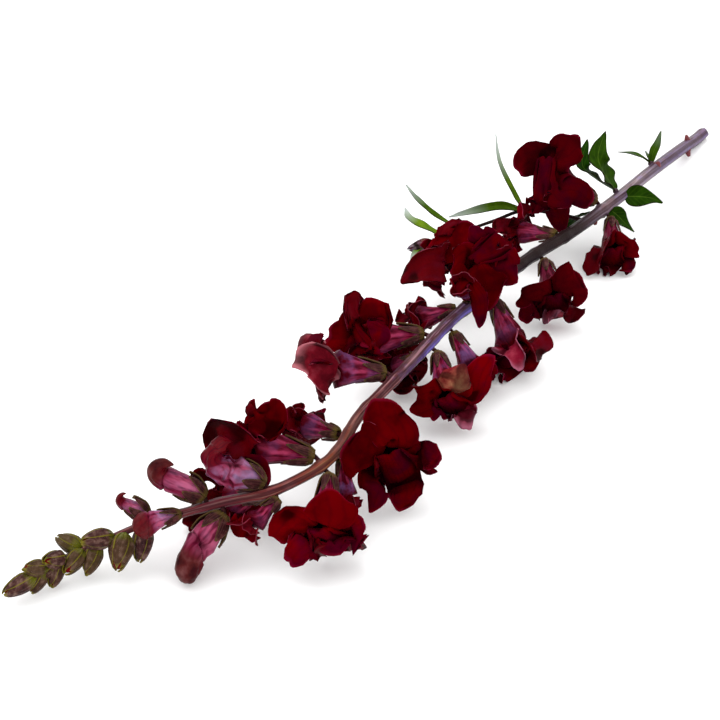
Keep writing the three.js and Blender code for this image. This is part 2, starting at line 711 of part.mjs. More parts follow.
function calyxGeometry(bloom, extraSkin = 0) {
  const frame = bloomFrame(bloom);
  const { size } = bloom;
  const sepals = 5;
  const count = sepals * 2;
  const tight = 1 / Math.cos(Math.PI / count);
  const room = bloomForm.halfSkin + gap + calyxForm.halfSkin;
  const { baseRadius, waistRadius, waistAt, floor } = bloomForm;
  const tubeAt = (z) => size * lerp(baseRadius, waistRadius, Math.max(0, z - floor) / (waistAt * size));
  const upright = new THREE.Quaternion().setFromUnitVectors(frame.axis, frame.outward);
  const halfway = new THREE.Quaternion().slerp(upright, 0.5);
  const rows = [[], [], [], [], []];
  for (let i = 0; i < count; i++) {
    const angle = (i / count) * Math.PI * 2;
    const tip = i % 2 === 0;
    const spot = (r, z) => placed(
      frame, r * Math.sin(angle) * bloomForm.flatten, r * Math.cos(angle), z);
    const offset = spot(calyxForm.stalkRadius, 0).sub(frame.base);
    rows[0].push(offset.clone().applyQuaternion(upright).add(frame.root));
    rows[1].push(offset.clone().applyQuaternion(halfway).add(frame.knee));
    rows[2].push(spot((tubeAt(0) + room) * tight, 0.1));
    rows[3].push(spot((tubeAt(calyxForm.shoulder * size) + room) * tight, calyxForm.shoulder * size));
    const z = (tip ? calyxForm.sepal : calyxForm.notch) * size;
    const flare = tip ? calyxForm.flare * size : 0;
    rows[4].push(spot((tubeAt(z) + room) * tight + flare, z));
  }
  rows.flat().forEach((p) => bendUp(p, calyxForm.soft, calyxForm.halfSkin));
  return cup(rows, calyxForm.halfSkin + extraSkin, 2, null);
}

// ---- finishes ----

function finish(colour, roughness) {
  return new THREE.MeshStandardMaterial({ color: colour, roughness, metalness: 0 });
}

function named(name, geometry, material) {
  const mesh = new THREE.Mesh(geometry.clone().translate(...centring), material);
  mesh.name = name;
  return mesh;
}

const stemFinish = () => finish(0x7d5a5e, 0.55);
const petalFinish = () => finish(0x7a0512, 0.8);
const sepalFinish = () => finish(0x554a3c, 0.65);
const leafFinish = () => finish(0x33601a, 0.5);
const budFinish = () => finish(0x5a4a34, 0.6);

// ---- the whole ----

const snapdragon = new THREE.Group();
const number = (i) => String(i + 1).padStart(2, '0');

snapdragon.add(named('stem', stemGeometry(), stemFinish()));
snapdragon.add(named('bud_spike', spikeGeometry(), budFinish()));

// The ground under the spray, larger than it on every side.
const ground = new THREE.BoxGeometry(600, 300, 20).translate(0, 0, -10);
const surface = { bare: solidOf(ground), wide: solidOf(ground) };

// What the later blooms are cut clear of, where they touch: the stem, the sepals, earlier blooms.
const wholeStem = (extra) => solidOf(stemStretch(0, stemLength, cutterStep, extra));
const standing = [{ bare: wholeStem(0), wide: wholeStem(gap) }];
blooms.forEach((bloom, i) => {
  const bare = calyxGeometry(bloom);
  snapdragon.add(named(`calyx_${number(i)}`, bare, sepalFinish()));
  standing.push({ bare: solidOf(bare), wide: solidOf(calyxGeometry(bloom, gap)) });
});

const makesWay = (i) => blooms[i].behind ?? 0;
const inFront = blooms.map((_, i) => i).sort((a, b) => makesWay(a) - makesWay(b));
for (const i of inFront) {
  const own = standing[i + 1];
  const bare = clearOf(corollaGeometry(blooms[i]), [surface, ...standing.filter((s) => s !== own)]);
  snapdragon.add(named(`corolla_${number(i)}`, bare, petalFinish()));
  standing.push({ bare: solidOf(bare), wide: solidOf(corollaGeometry(blooms[i], gap)) });
}

for (const name of Object.keys(leaves)) {
  snapdragon.add(named(name, clearOf(leafGeometry(name), standing), leafFinish()));
}

export default snapdragon;
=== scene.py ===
import json
import math

import bpy
import numpy as np
from mathutils import Euler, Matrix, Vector, noise

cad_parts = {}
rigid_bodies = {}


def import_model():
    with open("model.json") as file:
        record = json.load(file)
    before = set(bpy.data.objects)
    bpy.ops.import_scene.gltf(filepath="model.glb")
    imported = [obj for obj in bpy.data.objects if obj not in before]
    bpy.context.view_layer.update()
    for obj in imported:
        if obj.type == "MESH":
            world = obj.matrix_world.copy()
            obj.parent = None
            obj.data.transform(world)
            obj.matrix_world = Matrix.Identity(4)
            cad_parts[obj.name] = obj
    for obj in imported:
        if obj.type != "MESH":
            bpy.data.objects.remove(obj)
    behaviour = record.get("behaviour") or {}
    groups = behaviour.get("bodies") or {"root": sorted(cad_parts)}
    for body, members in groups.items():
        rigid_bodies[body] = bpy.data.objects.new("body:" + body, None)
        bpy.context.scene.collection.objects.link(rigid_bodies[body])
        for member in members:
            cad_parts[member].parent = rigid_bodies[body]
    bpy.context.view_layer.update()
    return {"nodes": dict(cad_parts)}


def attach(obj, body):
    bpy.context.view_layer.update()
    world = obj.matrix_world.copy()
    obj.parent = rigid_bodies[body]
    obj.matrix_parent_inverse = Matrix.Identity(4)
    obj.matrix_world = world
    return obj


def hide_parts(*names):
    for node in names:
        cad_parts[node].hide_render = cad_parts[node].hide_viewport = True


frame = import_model()
print("frame loaded,", len(frame["nodes"]), "nodes")

millimetre = 0.001
middleShift = np.array([-3.9, -7.1, 0.0])  # stands the middle of the spray over the origin
up = np.array([0.0, 0.0, 1.0])
surfaceGap = 0.02  # how close the stem and the stalks come to the surface
noise.seed_set(4)  # the same folds each time


# small sums

def mix(a, b, t):
    return a + (b - a) * t


def smooth(t):
    t = np.clip(t, 0.0, 1.0)
    return t * t * (3 - 2 * t)


def unit(v):
    return v / max(np.linalg.norm(v), 1e-9)


def dice(seed):
    # repeatable numbers from -1 to 1
    state = seed * 7919 + 17
    while True:
        state = state * 16807 % 2147483647
        yield state / 2147483647 * 2 - 1


def turned(v, axis, degrees):
    a = math.radians(degrees)
    return v * math.cos(a) + np.cross(axis, v) * math.sin(a) + axis * (axis @ v) * (1 - math.cos(a))


def wayAt(heading, rise):
    # a unit vector from a heading in plan and a rise above the surface
    h, r = math.radians(heading), math.radians(rise)
    return np.array([math.cos(r) * math.cos(h), math.cos(r) * math.sin(h), math.sin(r)])


def roundAngles(sides):
    return np.linspace(0, 2 * math.pi, sides, endpoint=False)


def aboveSurface(points):
    points = points.copy()
    points[..., 2] = np.maximum(points[..., 2], surfaceGap)
    return points


def crumpled(point, broad, broadBy, fine, fineBy):
    # a push by chance, always the same at the same place
    return np.array(noise.noise_vector(Vector(point * broad)) * broadBy
                    + noise.noise_vector(Vector(point * fine)) * fineBy)


def lengthAlong(line):
    return np.concatenate([[0], np.cumsum(np.linalg.norm(np.diff(line, axis=0), axis=1))])


def pointAt(line, run, at):
    return np.array([np.interp(at, run, line[:, k]) for k in range(3)])


def curveThrough(points, steps):
    # evenly stepped samples of a spline that passes through every point
    p = [np.array(q, float) for q in points]
    p = [2 * p[0] - p[1]] + p + [2 * p[-1] - p[-2]]
    spans = len(p) - 3
    samples = []
    for k in range(steps + 1):
        t = k / steps * spans
        i = min(int(t), spans - 1)
        a, b, c, d = p[i:i + 4]
        da, db, dc = (max(np.linalg.norm(v) ** 0.5, 1e-4) for v in (b - a, c - b, d - c))
        into = ((b - a) / da - (c - a) / (da + db) + (c - b) / db) * db
        outOf = ((c - b) / db - (d - b) / (db + dc) + (d - c) / dc) * db
        s = t - i
        samples.append(b + into * s + (3 * (c - b) - 2 * into - outOf) * s ** 2
                       + (2 * (b - c) + into + outOf) * s ** 3)
    return np.array(samples)


# ways to make and join meshes

traitNames = ("along", "across", "edge", "tint")


def newPart():
    return {"points": [], "faces": [], "paint": [], "count": 0, **{name: [] for name in traitNames}}


def addPoints(part, points, **traits):
    points = np.asarray(points, float).reshape(-1, 3)
    start = part["count"]
    part["points"].append(points)
    part["count"] += len(points)
    for name in traitNames:
        part[name].append(np.broadcast_to(np.asarray(traits.get(name, 0.0), float).ravel(), (len(points),)))
    return start


def addGrid(part, grid, paint=0, closed=False, capStart=False, capEnd=False, **traits):
    # rows of points; with closed, each row runs round and joins itself
    rows, columns = grid.shape[:2]
    full = {k: np.broadcast_to(v, (rows, columns)) for k, v in traits.items()}
    start = addPoints(part, grid, **full)
    faces = []
    for j in range(rows - 1):
        for i in range(columns if closed else columns - 1):
            k = (i + 1) % columns
            low, high = start + j * columns, start + (j + 1) * columns
            faces.append((low + i, high + i, high + k, low + k))
    for wanted, row in ((capStart, 0), (capEnd, rows - 1)):
        if not wanted:
            continue
        ends = {k: v[row].mean() for k, v in full.items()}
        pole = addPoints(part, grid[row].mean(0), **ends)
        ring = start + row * columns
        for i in range(columns):
            k = (i + 1) % columns
            faces.append((pole, ring + i, ring + k) if row == 0 else (pole, ring + k, ring + i))
    part["faces"] += faces
    part["paint"] += [paint] * len(faces)


def readAll(items, name, width=3, kind=np.float32):
    values = np.zeros(len(items) * width, kind)
    items.foreach_get(name, values)
    return values.reshape(-1, width)


def storeTrait(mesh, name, values):
    layer = mesh.attributes.new(name, "FLOAT", "POINT")
    layer.data.foreach_set("value", values.astype(np.float32))


def makeMesh(part, name, scale=millimetre, shift=middleShift):
    mesh = bpy.data.meshes.new(name)
    points = (np.concatenate(part["points"]) + shift) * scale
    mesh.from_pydata(points.tolist(), [], part["faces"])
    for name in traitNames:
        storeTrait(mesh, name, np.concatenate(part[name]))
    mesh.polygons.foreach_set("use_smooth", [True] * len(mesh.polygons))
    return mesh


def markValleys(mesh, smoothing=2):
    # how far each point lies in a fold of the surface, above 0, or on a crest, below 0
    points, normals = readAll(mesh.vertices, "co"), readAll(mesh.vertices, "normal")
    ends = readAll(mesh.edges, "vertices", 2, np.int32)
    number = np.maximum(np.bincount(ends.ravel(), minlength=len(points)), 1)

    def around(values):
        near = np.zeros_like(values)
        np.add.at(near, ends[:, 0], values[ends[:, 1]])
        np.add.at(near, ends[:, 1], values[ends[:, 0]])
        return near / number.reshape((-1,) + (1,) * (values.ndim - 1))

    smoothed = around(around(points))
    sunk = ((smoothed - points) * normals).sum(1) / millimetre
    for _ in range(smoothing):
        sunk = 0.5 * (sunk + around(sunk))
    storeTrait(mesh, "valley", sunk)


def link(data, name):
    piece = bpy.data.objects.new(name, data)
    bpy.context.scene.collection.objects.link(piece)
    return piece


def addSkin(piece, thickness):
    skin = piece.modifiers.new("skin", "SOLIDIFY")
    skin.thickness = thickness
    skin.offset = 0
    return skin


def finishPiece(part, name, paints, nodes=(), skin=None, smoothing=2):
    # puts a part in the scene as a piece that stands for its solid
    mesh = makeMesh(part, name)
    for paint in paints:
        mesh.materials.append(paint)
    mesh.polygons.foreach_set("material_index", part["paint"])
    mesh.update()
    markValleys(mesh, smoothing)
    piece = link(mesh, name)
    if skin:
        sheet = addSkin(piece, skin * millimetre)
        sheet.material_offset, sheet.material_offset_rim = 1, 2
    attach(piece, "root")
    if nodes:
        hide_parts(*nodes)


def baked(host):
    # the host's evaluated mesh, and the host is gone afterwards
    bpy.context.view_layer.update()
    result = bpy.data.meshes.new_from_object(host.evaluated_get(bpy.context.evaluated_depsgraph_get()))
    bpy.data.objects.remove(host)
    return result


def bakedBlade(part, name, skin, tree=None, values=None):
    # a blade in axes of its own, repeated by the tree if there is one, with a thickness
    host = link(makeMesh(part, name, 1.0, np.zeros(3)), name)
    if tree:
        runTree(host, tree, values)
    addSkin(host, skin)
    return baked(host)


def addBaked(part, mesh, place=None, paint=0):
    # takes a baked mesh into a part; place turns its own axes into the spray's
    points = readAll(mesh.vertices, "co").astype(float)
    traits = {name: readAll(mesh.attributes[name].data, "value", 1)
              for name in traitNames if name in mesh.attributes}
    start = addPoints(part, place(points) if place else points, **traits)
    part["faces"] += [tuple(start + i for i in face.vertices) for face in mesh.polygons]
    part["paint"] += [paint] * len(mesh.polygons)


# node trees for shapes

def newTree(name, inputs):
    tree = bpy.data.node_groups.new(name, "GeometryNodeTree")
    tree.interface.new_socket("Geometry", in_out="INPUT", socket_type="NodeSocketGeometry")
    for label, kind, default in inputs:
        socket = tree.interface.new_socket(label, in_out="INPUT", socket_type="NodeSocket" + kind)
        if default is not None:
            socket.default_value = default
    tree.interface.new_socket("Geometry", in_out="OUTPUT", socket_type="NodeSocketGeometry")
    return tree, tree.nodes.new("NodeGroupInput").outputs


def addNode(tree, kind, values=None, **settings):
    # values go to inputs by name or number: a plain value, an output, or a node for its first output
    node = tree.nodes.new(kind)
    for key, value in settings.items():
        setattr(node, key, value)
    for key, value in (values or {}).items():
        socket = node.inputs[key]
        if isinstance(value, bpy.types.Node):
            value = value.outputs[0]
        if isinstance(value, bpy.types.NodeSocket):
            tree.links.new(value, socket)
        else:
            socket.default_value = value
    return node


def calc(tree, operation, a, b=0.0, c=0.0):
    return addNode(tree, "ShaderNodeMath", {0: a, 1: b, 2: c}, operation=operation).outputs[0]


def times(tree, a, b):
    return calc(tree, "MULTIPLY", a, b)


def endTree(tree, geometry, material):
    real = addNode(tree, "GeometryNodeRealizeInstances", {"Geometry": geometry})
    painted = addNode(tree, "GeometryNodeSetMaterial", {"Geometry": real, "Material": material})
    out = tree.nodes.new("NodeGroupOutput")
    tree.links.new(painted.outputs[0], out.inputs[0])
    for column, node in enumerate(tree.nodes):
        node.location = (column * 180, 0)


def runTree(host, tree, values):
    modifier = host.modifiers.new(tree.name, "NODES")
    modifier.node_group = tree
    for socket in tree.interface.items_tree:
        if socket.in_out == "INPUT" and socket.name in values:
            modifier[socket.identifier] = values[socket.name]


def makeStemTree():
    # a ridged rod along a line of points that carry their own girth
    tree, given = newTree("ridged stem", [
        ("Sides", "Int", 48), ("Ridges", "Int", 5), ("Ridge depth", "Float", 0.05),
        ("Material", "Material", None)])
    line = addNode(tree, "GeometryNodeMeshToCurve", {"Mesh": given["Geometry"]})
    girth = addNode(tree, "GeometryNodeInputNamedAttribute", {"Name": "girth"}, data_type="FLOAT")
    ring = addNode(tree, "GeometryNodeCurvePrimitiveCircle", {"Resolution": given["Sides"], "Radius": 1.0})
    index = tree.nodes.new("GeometryNodeInputIndex")
    angle = times(tree, calc(tree, "DIVIDE", index, given["Sides"]), 2 * math.pi)
    wave = calc(tree, "COSINE", times(tree, angle, given["Ridges"]))
    finer = times(tree, calc(tree, "COSINE", times(tree, angle, 13.0)), 0.35)
    reach = times(tree, calc(tree, "ADD", wave, finer), given["Ridge depth"])
    place = tree.nodes.new("GeometryNodeInputPosition")
    push = addNode(tree, "ShaderNodeVectorMath", {0: place, "Scale": reach}, operation="SCALE")
    marked = addNode(tree, "GeometryNodeSetPosition", {"Geometry": ring, "Offset": push})
    cosine, sine = calc(tree, "COSINE", angle), calc(tree, "SINE", angle)
    for name, value in (("across", wave), ("edge", cosine), ("tint", sine)):
        marked = addNode(tree, "GeometryNodeStoreNamedAttribute",
                         {"Geometry": marked, "Name": name, "Value": value},
                         data_type="FLOAT", domain="POINT")
    rod = addNode(tree, "GeometryNodeCurveToMesh",
                  {"Curve": line, "Profile Curve": marked, "Scale": girth, "Fill Caps": True})
    endTree(tree, rod, given["Material"])
    return tree


def makeRingTree():
    # the same blade set round an axis, each turned and stretched a little by chance
    tree, given = newTree("sepal ring", [
        ("Count", "Int", 5), ("Turn jitter", "Float", 0.08), ("Length jitter", "Float", 0.08),
        ("Seed", "Int", 1), ("Material", "Material", None)])
    spots = addNode(tree, "GeometryNodeMeshLine", {"Count": given["Count"], "Offset": (0, 0, 0)})
    index = tree.nodes.new("GeometryNodeInputIndex")
    step = calc(tree, "DIVIDE", 2 * math.pi, given["Count"])

    def chance(spread, shift):
        seed = calc(tree, "ADD", given["Seed"], shift)
        node = addNode(tree, "FunctionNodeRandomValue",
                       {2: times(tree, spread, -1.0), 3: spread, "Seed": seed}, data_type="FLOAT")
        return node.outputs[1]

    turn = calc(tree, "ADD", times(tree, index, step), chance(given["Turn jitter"], 0.0))
    spin = addNode(tree, "ShaderNodeCombineXYZ", {"Z": turn})
    stretch = calc(tree, "ADD", 1.0, chance(given["Length jitter"], 40.0))
    size = addNode(tree, "ShaderNodeCombineXYZ", {"X": 1.0, "Y": 1.0, "Z": stretch})
    ring = addNode(tree, "GeometryNodeInstanceOnPoints",
                   {"Points": spots, "Instance": given["Geometry"], "Rotation": spin, "Scale": size})
    endTree(tree, ring, given["Material"])
    return tree


def makeHairTree():
    # short hairs that stand on a surface and lean a little
    tree, given = newTree("short hairs", [
        ("Density", "Float", 1e5), ("Length", "Float", 0.0006), ("Thickness", "Float", 0.00005),
        ("Seed", "Int", 1), ("Material", "Material", None)])
    spots = addNode(tree, "GeometryNodeDistributePointsOnFaces",
                    {"Mesh": given["Geometry"], "Density": given["Density"], "Seed": given["Seed"]})
    hair = addNode(tree, "GeometryNodeMeshCone",
                   {"Vertices": 3, "Radius Bottom": given["Thickness"], "Depth": given["Length"]},
                   fill_type="NONE")
    lean = addNode(tree, "FunctionNodeRandomValue",
                   {0: (-0.6, -0.6, 0), 1: (0.6, 0.6, 3), "Seed": given["Seed"]}, data_type="FLOAT_VECTOR")
    tilt = addNode(tree, "FunctionNodeEulerToRotation", {"Euler": lean})
    stand = addNode(tree, "FunctionNodeRotateRotation",
                    {"Rotation": spots.outputs["Rotation"], "Rotate By": tilt}, rotation_space="LOCAL")
    hairs = addNode(tree, "GeometryNodeInstanceOnPoints",
                    {"Points": spots, "Instance": hair, "Rotation": stand})
    endTree(tree, hairs, given["Material"])
    return tree


stemTree = makeStemTree()
ringTree = makeRingTree()
hairTree = makeHairTree()
print("node trees made")


# paints

toneShare = 0.86  # of each colour's light, as the studio is bright
# the petals' tones; the throat and fold tones also serve as painted shade inside the flower
petalLook = {
    "crimson": (99, 0, 4), "deepCrimson": (65, 0, 3), "throat": (44, 0, 9), "fold": (50, 0, 8),
    "wine": (70, 0, 22), "rim": (132, 21, 51), "tubePale": (168, 84, 112), "tubePink": (118, 10, 46),
    "tubeMagenta": (84, 2, 22), "backRed": (74, 1, 14), "lavender": (138, 106, 174),
    "vein": (55, 2, 18), "brown": (84, 28, 28),
}
# along the stem from its tip: the tones of its skin, darker from 0.56 to 0.67 as partly its own dark skin
# and partly painted shadow, and of the painted sheen in fine light streaks on it
stemLook = {
    "skin": ((0.0, (82, 90, 22)), (0.06, (100, 44, 45)), (0.16, (118, 46, 54)), (0.25, (116, 56, 38)),
             (0.34, (90, 40, 43)), (0.45, (80, 48, 58)), (0.56, (54, 24, 26)), (0.66, (40, 22, 26)),
             (0.72, (88, 70, 80)), (0.81, (138, 118, 123)), (0.86, (100, 84, 102)), (0.94, (96, 74, 92)),
             (1.0, (78, 62, 80))),
    "sheenStreaks": ((0.14, (206, 154, 152)), (0.24, (170, 116, 76)), (0.34, (188, 138, 136)),
                (0.5, (150, 118, 150)), (0.58, (84, 54, 56)), (0.67, (64, 48, 54)), (0.8, (184, 170, 178)),
                (0.86, (138, 126, 154)), (1.0, (116, 96, 126))),
}


def colour(red, green, blue):
    def linear(v):
        v /= 255
        return toneShare * (v / 12.92 if v <= 0.04045 else ((v + 0.055) / 1.055) ** 2.4)
    return (linear(red), linear(green), linear(blue), 1.0)


def newPaint(name, **sockets):
    # uniform values go straight to the shader's own sockets
    paint = bpy.data.materials.new(name)
    paint.use_nodes = True
    for key, value in sockets.items():
        socket = paint.node_tree.nodes["Principled BSDF"].inputs[key.replace("_", " ")]
        socket.default_value = colour(*value) if isinstance(value, tuple) else value
    return paint, paint.node_tree


def endPaint(paint, tone, height=None, strength=0.3, distance=0.0004):
    # the colour, and a fine relief
    tree = paint.node_tree
    shader = tree.nodes["Principled BSDF"]
    tree.links.new(tone, shader.inputs["Base Color"])
    if height is not None:
        bump = addNode(tree, "ShaderNodeBump",
                       {"Height": height, "Strength": strength, "Distance": distance})
        tree.links.new(bump.outputs[0], shader.inputs["Normal"])
    return paint


def traitsOf(tree, *names):
    return [addNode(tree, "ShaderNodeAttribute", attribute_name=name).outputs["Fac"] for name in names]


def ramp(tree, factor, *stops, smoothly=False):
    # each stop is a place with a colour, or with a share from 0 to 1
    node = addNode(tree, "ShaderNodeValToRGB", {0: factor})
    if smoothly:
        node.color_ramp.interpolation = "EASE"
    elements = node.color_ramp.elements
    while len(elements) < len(stops):
        elements.new(0.5)
    for element, (place, tone) in zip(elements, stops):
        element.position = place
        element.color = colour(*tone) if isinstance(tone, tuple) else (tone, tone, tone, 1.0)
    return node.outputs[0]


def speckle(tree, scale, detail=4.0, roughness=0.55):
    # noise on the piece's own coordinates
    where = tree.nodes.new("ShaderNodeTexCoord").outputs["Object"]
    node = addNode(tree, "ShaderNodeTexNoise",
                   {"Vector": where, "Scale": scale, "Detail": detail, "Roughness": roughness})
    return node.outputs["Fac"]


def mottled(tree, scale, detail, *stops, smoothly=False):
    return ramp(tree, speckle(tree, scale, detail), *stops, smoothly=smoothly)


def blend(tree, factor, a, b, mode="MIX"):
    a, b = (colour(*v) if isinstance(v, tuple) else v for v in (a, b))
    return addNode(tree, "ShaderNodeMix", {"Factor": factor, 6: a, 7: b},
                   data_type="RGBA", blend_type=mode).outputs[2]


def stripes(tree, phase, count, sharp):
    # thin lines where the wave peaks
    wave = calc(tree, "SINE", times(tree, phase, count * 2 * math.pi))
    return calc(tree, "POWER", calc(tree, "MULTIPLY_ADD", wave, 0.5, 0.5), sharp)


def drawnNoise(tree, x, y, z, scale):
    where = addNode(tree, "ShaderNodeCombineXYZ", {"X": x, "Y": y, "Z": z})
    return addNode(tree, "ShaderNodeTexNoise",
                   {"Vector": where.outputs[0], "Scale": scale, "Detail": 3.0}).outputs["Fac"]


def runStreaks(tree, turn, along, fine, slow):
    # noise drawn out along a tube: turn is the share of the way round it
    angle = times(tree, turn, 2 * math.pi)
    x, y = calc(tree, "COSINE", angle), calc(tree, "SINE", angle)
    return drawnNoise(tree, x, y, times(tree, along, slow), fine)


def foldShade(tree, tone, strength, deep):
    # painted shade: darker in the folds and lighter on the crests; a negative strength is for a sheet's
    # other face
    depth = calc(tree, "MULTIPLY_ADD", traitsOf(tree, "valley")[0], -strength, 0.5)
    share = ramp(tree, depth, (0.1, deep), (0.5, 0.9), (0.9, 1), smoothly=True)
    return blend(tree, 1.0, tone, share, "MULTIPLY")


def velvetPaint(look):
    paint, tree = newPaint("velvet crimson", Roughness=0.8, Sheen_Weight=0.16, Sheen_Roughness=0.28,
                           Sheen_Tint=(230, 20, 60), Specular_IOR_Level=0.0)
    along, across, edge, tint = traitsOf(tree, *traitNames)
    half = times(tree, along, 0.5)
    upperLip = mottled(tree, 70, 3, (0.34, look["deepCrimson"]), (0.62, look["crimson"]), smoothly=True)
    lowerLip = mottled(tree, 90, 3, (0.34, look["wine"]), (0.66, look["crimson"]), smoothly=True)
    patch = blend(tree, ramp(tree, times(tree, across, 0.2), (0.36, 0), (0.44, 1)), upperLip, lowerLip)
    wander = calc(tree, "MULTIPLY_ADD", speckle(tree, 260, 3), 0.1, across)
    veins = times(tree, stripes(tree, wander, 6, 5), 0.22)
    broad = mottled(tree, 26, 1, (0.32, 0.62), (0.68, 1), smoothly=True)
    veined = blend(tree, 1.0, blend(tree, veins, patch, look["fold"]), broad, "MULTIPLY")
    # painted shade inside the flower: darker down the throat and at the fold where the lobes turn out
    depth = ramp(tree, half, (0, look["throat"]), (0.44, look["throat"]), (0.5, look["fold"]),
                 (0.56, look["deepCrimson"]))
    shaded = foldShade(tree, blend(tree, ramp(tree, half, (0.47, 0), (0.62, 1)), depth, veined), -1.7, 0.3)
    deep = blend(tree, times(tree, tint, -0.55), shaded, (26, 1, 6))
    rimmed = blend(tree, ramp(tree, edge, (0.55, 0), (1, 0.45)), deep, look["rim"])
    grain = calc(tree, "ADD", times(tree, speckle(tree, 3500, 2), 0.4),
                 calc(tree, "SUBTRACT", speckle(tree, 420, 4), veins))
    return endPaint(paint, rimmed, grain, 0.3, 0.0005)


def backPaint(look):
    paint, tree = newPaint("petal backs", Roughness=0.3, Sheen_Weight=0.02, Sheen_Roughness=0.3,
                           Sheen_Tint=look["lavender"], Specular_IOR_Level=0.01)
    along, across, tint = traitsOf(tree, "along", "across", "tint")
    half, turn = times(tree, along, 0.5), calc(tree, "DIVIDE", across, 6.0)
    base = ramp(tree, half, (0, look["tubePale"]), (0.12, look["tubePink"]), (0.32, look["tubeMagenta"]),
                (0.5, look["backRed"]), (0.62, (86, 0, 7)), smoothly=True)
    wander = calc(tree, "MULTIPLY_ADD", speckle(tree, 220, 3), 0.12, across)
    veins = stripes(tree, wander, 4, 3)
    lined = blend(tree, times(tree, veins, ramp(tree, half, (0.1, 0.7), (0.75, 0.2))), base, look["vein"])
    # light and dark streaks on the tube alone, partly its own streaking and partly painted highlight and
    # painted shade
    tube = ramp(tree, half, (0.34, 0.8), (0.6, 0))
    light = ramp(tree, runStreaks(tree, turn, along, 1.9, 0.8), (0.46, 0), (0.68, 1))
    lit = blend(tree, times(tree, light, tube), lined, (174, 58, 94))
    dark = ramp(tree, runStreaks(tree, turn, along, 3.0, 1.2), (0.36, 0.7), (0.48, 0))
    streaked = blend(tree, times(tree, dark, tube), lit, (58, 1, 20))
    mist = times(tree, times(tree, tint, ramp(tree, half, (0.4, 1), (0.6, 0.1))), 0.55)
    misty = blend(tree, times(tree, mottled(tree, 140, 3, (0.46, 0), (0.62, 1)), mist), streaked,
                  look["lavender"])
    deep = blend(tree, times(tree, tint, -0.5), foldShade(tree, misty, 2.0, 0.24), (30, 1, 8))
    height = calc(tree, "SUBTRACT", speckle(tree, 900, 4), times(tree, veins, 0.6))
    return endPaint(paint, deep, height, 0.3, 0.0005)


def rimPaint(look):
    paint, tree = newPaint("petal rims", Roughness=0.6, Specular_IOR_Level=0.2)
    tone = mottled(tree, 300, 3, (0.35, look["backRed"]), (0.7, look["rim"]))
    return endPaint(paint, tone, speckle(tree, 2400, 2), 0.2, 0.0003)


def fadedPaint(name, tones, rim):
    # a petal gone pale, with its edges in a tone of their own
    paint, tree = newPaint(name, Roughness=0.55, Specular_IOR_Level=0.02)
    clouds = mottled(tree, 130, 4, *zip((0.36, 0.52, 0.72), tones))
    edged = blend(tree, ramp(tree, traitsOf(tree, "edge")[0], (0.1, 0), (0.7, 0.9)), clouds, rim)
    return endPaint(paint, foldShade(tree, edged, 2.0, 0.3), speckle(tree, 900, 4), 0.4, 0.0005)


def nosePaint(look):
    # the skin of petals that haven't opened: pink, veined, brown over the nose
    paint, tree = newPaint("closed petals", Roughness=0.34, Specular_IOR_Level=0.03)
    along, across, edge, tint = traitsOf(tree, *traitNames)
    base = ramp(tree, along, (0, (140, 104, 66)), (0.2, (146, 44, 76)), (0.52, (120, 16, 54)),
                (0.72, (98, 3, 20)), (1, (90, 0, 9)), smoothly=True)
    wander = calc(tree, "MULTIPLY_ADD", speckle(tree, 260, 3), 0.1, across)
    lined = blend(tree, times(tree, stripes(tree, wander, 14, 4), 0.4), base, look["vein"])
    # light and dark streaks low on the body, partly its own streaking and partly painted highlight and
    # painted shade
    low = ramp(tree, along, (0.46, 1), (0.64, 0))
    light = ramp(tree, runStreaks(tree, across, along, 1.7, 1.3), (0.46, 0), (0.66, 0.9))
    lit = blend(tree, times(tree, light, low), lined, (190, 90, 124))
    dark = ramp(tree, runStreaks(tree, across, along, 2.6, 1.6), (0.36, 0.75), (0.48, 0))
    streaked = blend(tree, times(tree, dark, low), lit, (70, 3, 30))
    head = mottled(tree, 150, 4, (0.34, (50, 6, 12)), (0.5, look["brown"]), (0.7, (120, 70, 70)))
    cloud = mottled(tree, 190, 3, (0.36, 0), (0.62, 0.9))
    misty = blend(tree, times(tree, cloud, times(tree, tint, low)), blend(tree, edge, streaked, head),
                  (172, 132, 178))
    # painted shade in the seam, the slit and the pleats, where the tint is below 0
    creased = blend(tree, times(tree, tint, -0.85), foldShade(tree, misty, 2.2, 0.15), (58, 0, 16))
    return endPaint(paint, creased, speckle(tree, 1100, 4))


def sepalPaint():
    paint, tree = newPaint("sepal green brown", Roughness=0.5, Sheen_Weight=0.02,
                           Sheen_Tint=(167, 150, 154), Specular_IOR_Level=0.05)
    along, across, edge, tint = traitsOf(tree, *traitNames)
    mottle = mottled(tree, 420, 4, (0.3, (30, 10, 13)), (0.5, (56, 20, 24)), (0.76, (98, 56, 56)))
    base = blend(tree, ramp(tree, along, (0, 0.9), (0.22, 0)), mottle, (96, 82, 28))
    ribs = times(tree, stripes(tree, across, 2.5, 3), 0.35)
    edged = blend(tree, ramp(tree, edge, (0.45, 0), (0.95, 0.7)), blend(tree, ribs, base, (92, 56, 46)),
                  blend(tree, tint, (84, 62, 40), (130, 134, 21)))
    height = calc(tree, "SUBTRACT", speckle(tree, 1500, 3), times(tree, ribs, 2.0))
    return endPaint(paint, foldShade(tree, edged, 2.6, 0.25), height, 0.45)


def budPaint():
    paint, tree = newPaint("bud sepals", Roughness=0.45, Sheen_Weight=0.02,
                           Sheen_Tint=(158, 150, 158), Specular_IOR_Level=0.07)
    along, across, edge, tint = traitsOf(tree, *traitNames)
    mottle = mottled(tree, 480, 4, (0.32, (36, 12, 18)), (0.5, (68, 36, 36)), (0.72, (122, 94, 84)))
    olive = blend(tree, tint, mottle, (70, 58, 23))
    limed = blend(tree, ramp(tree, along, (0.02, 0.9), (0.3, 0)), olive, (104, 109, 11))
    edged = blend(tree, ramp(tree, edge, (0.5, 0), (0.9, 0.8)), limed, (124, 116, 22))
    height = calc(tree, "ADD", speckle(tree, 1500, 3), stripes(tree, across, 2, 2))
    return endPaint(paint, foldShade(tree, edged, 2.6, 0.25), height, 0.35)


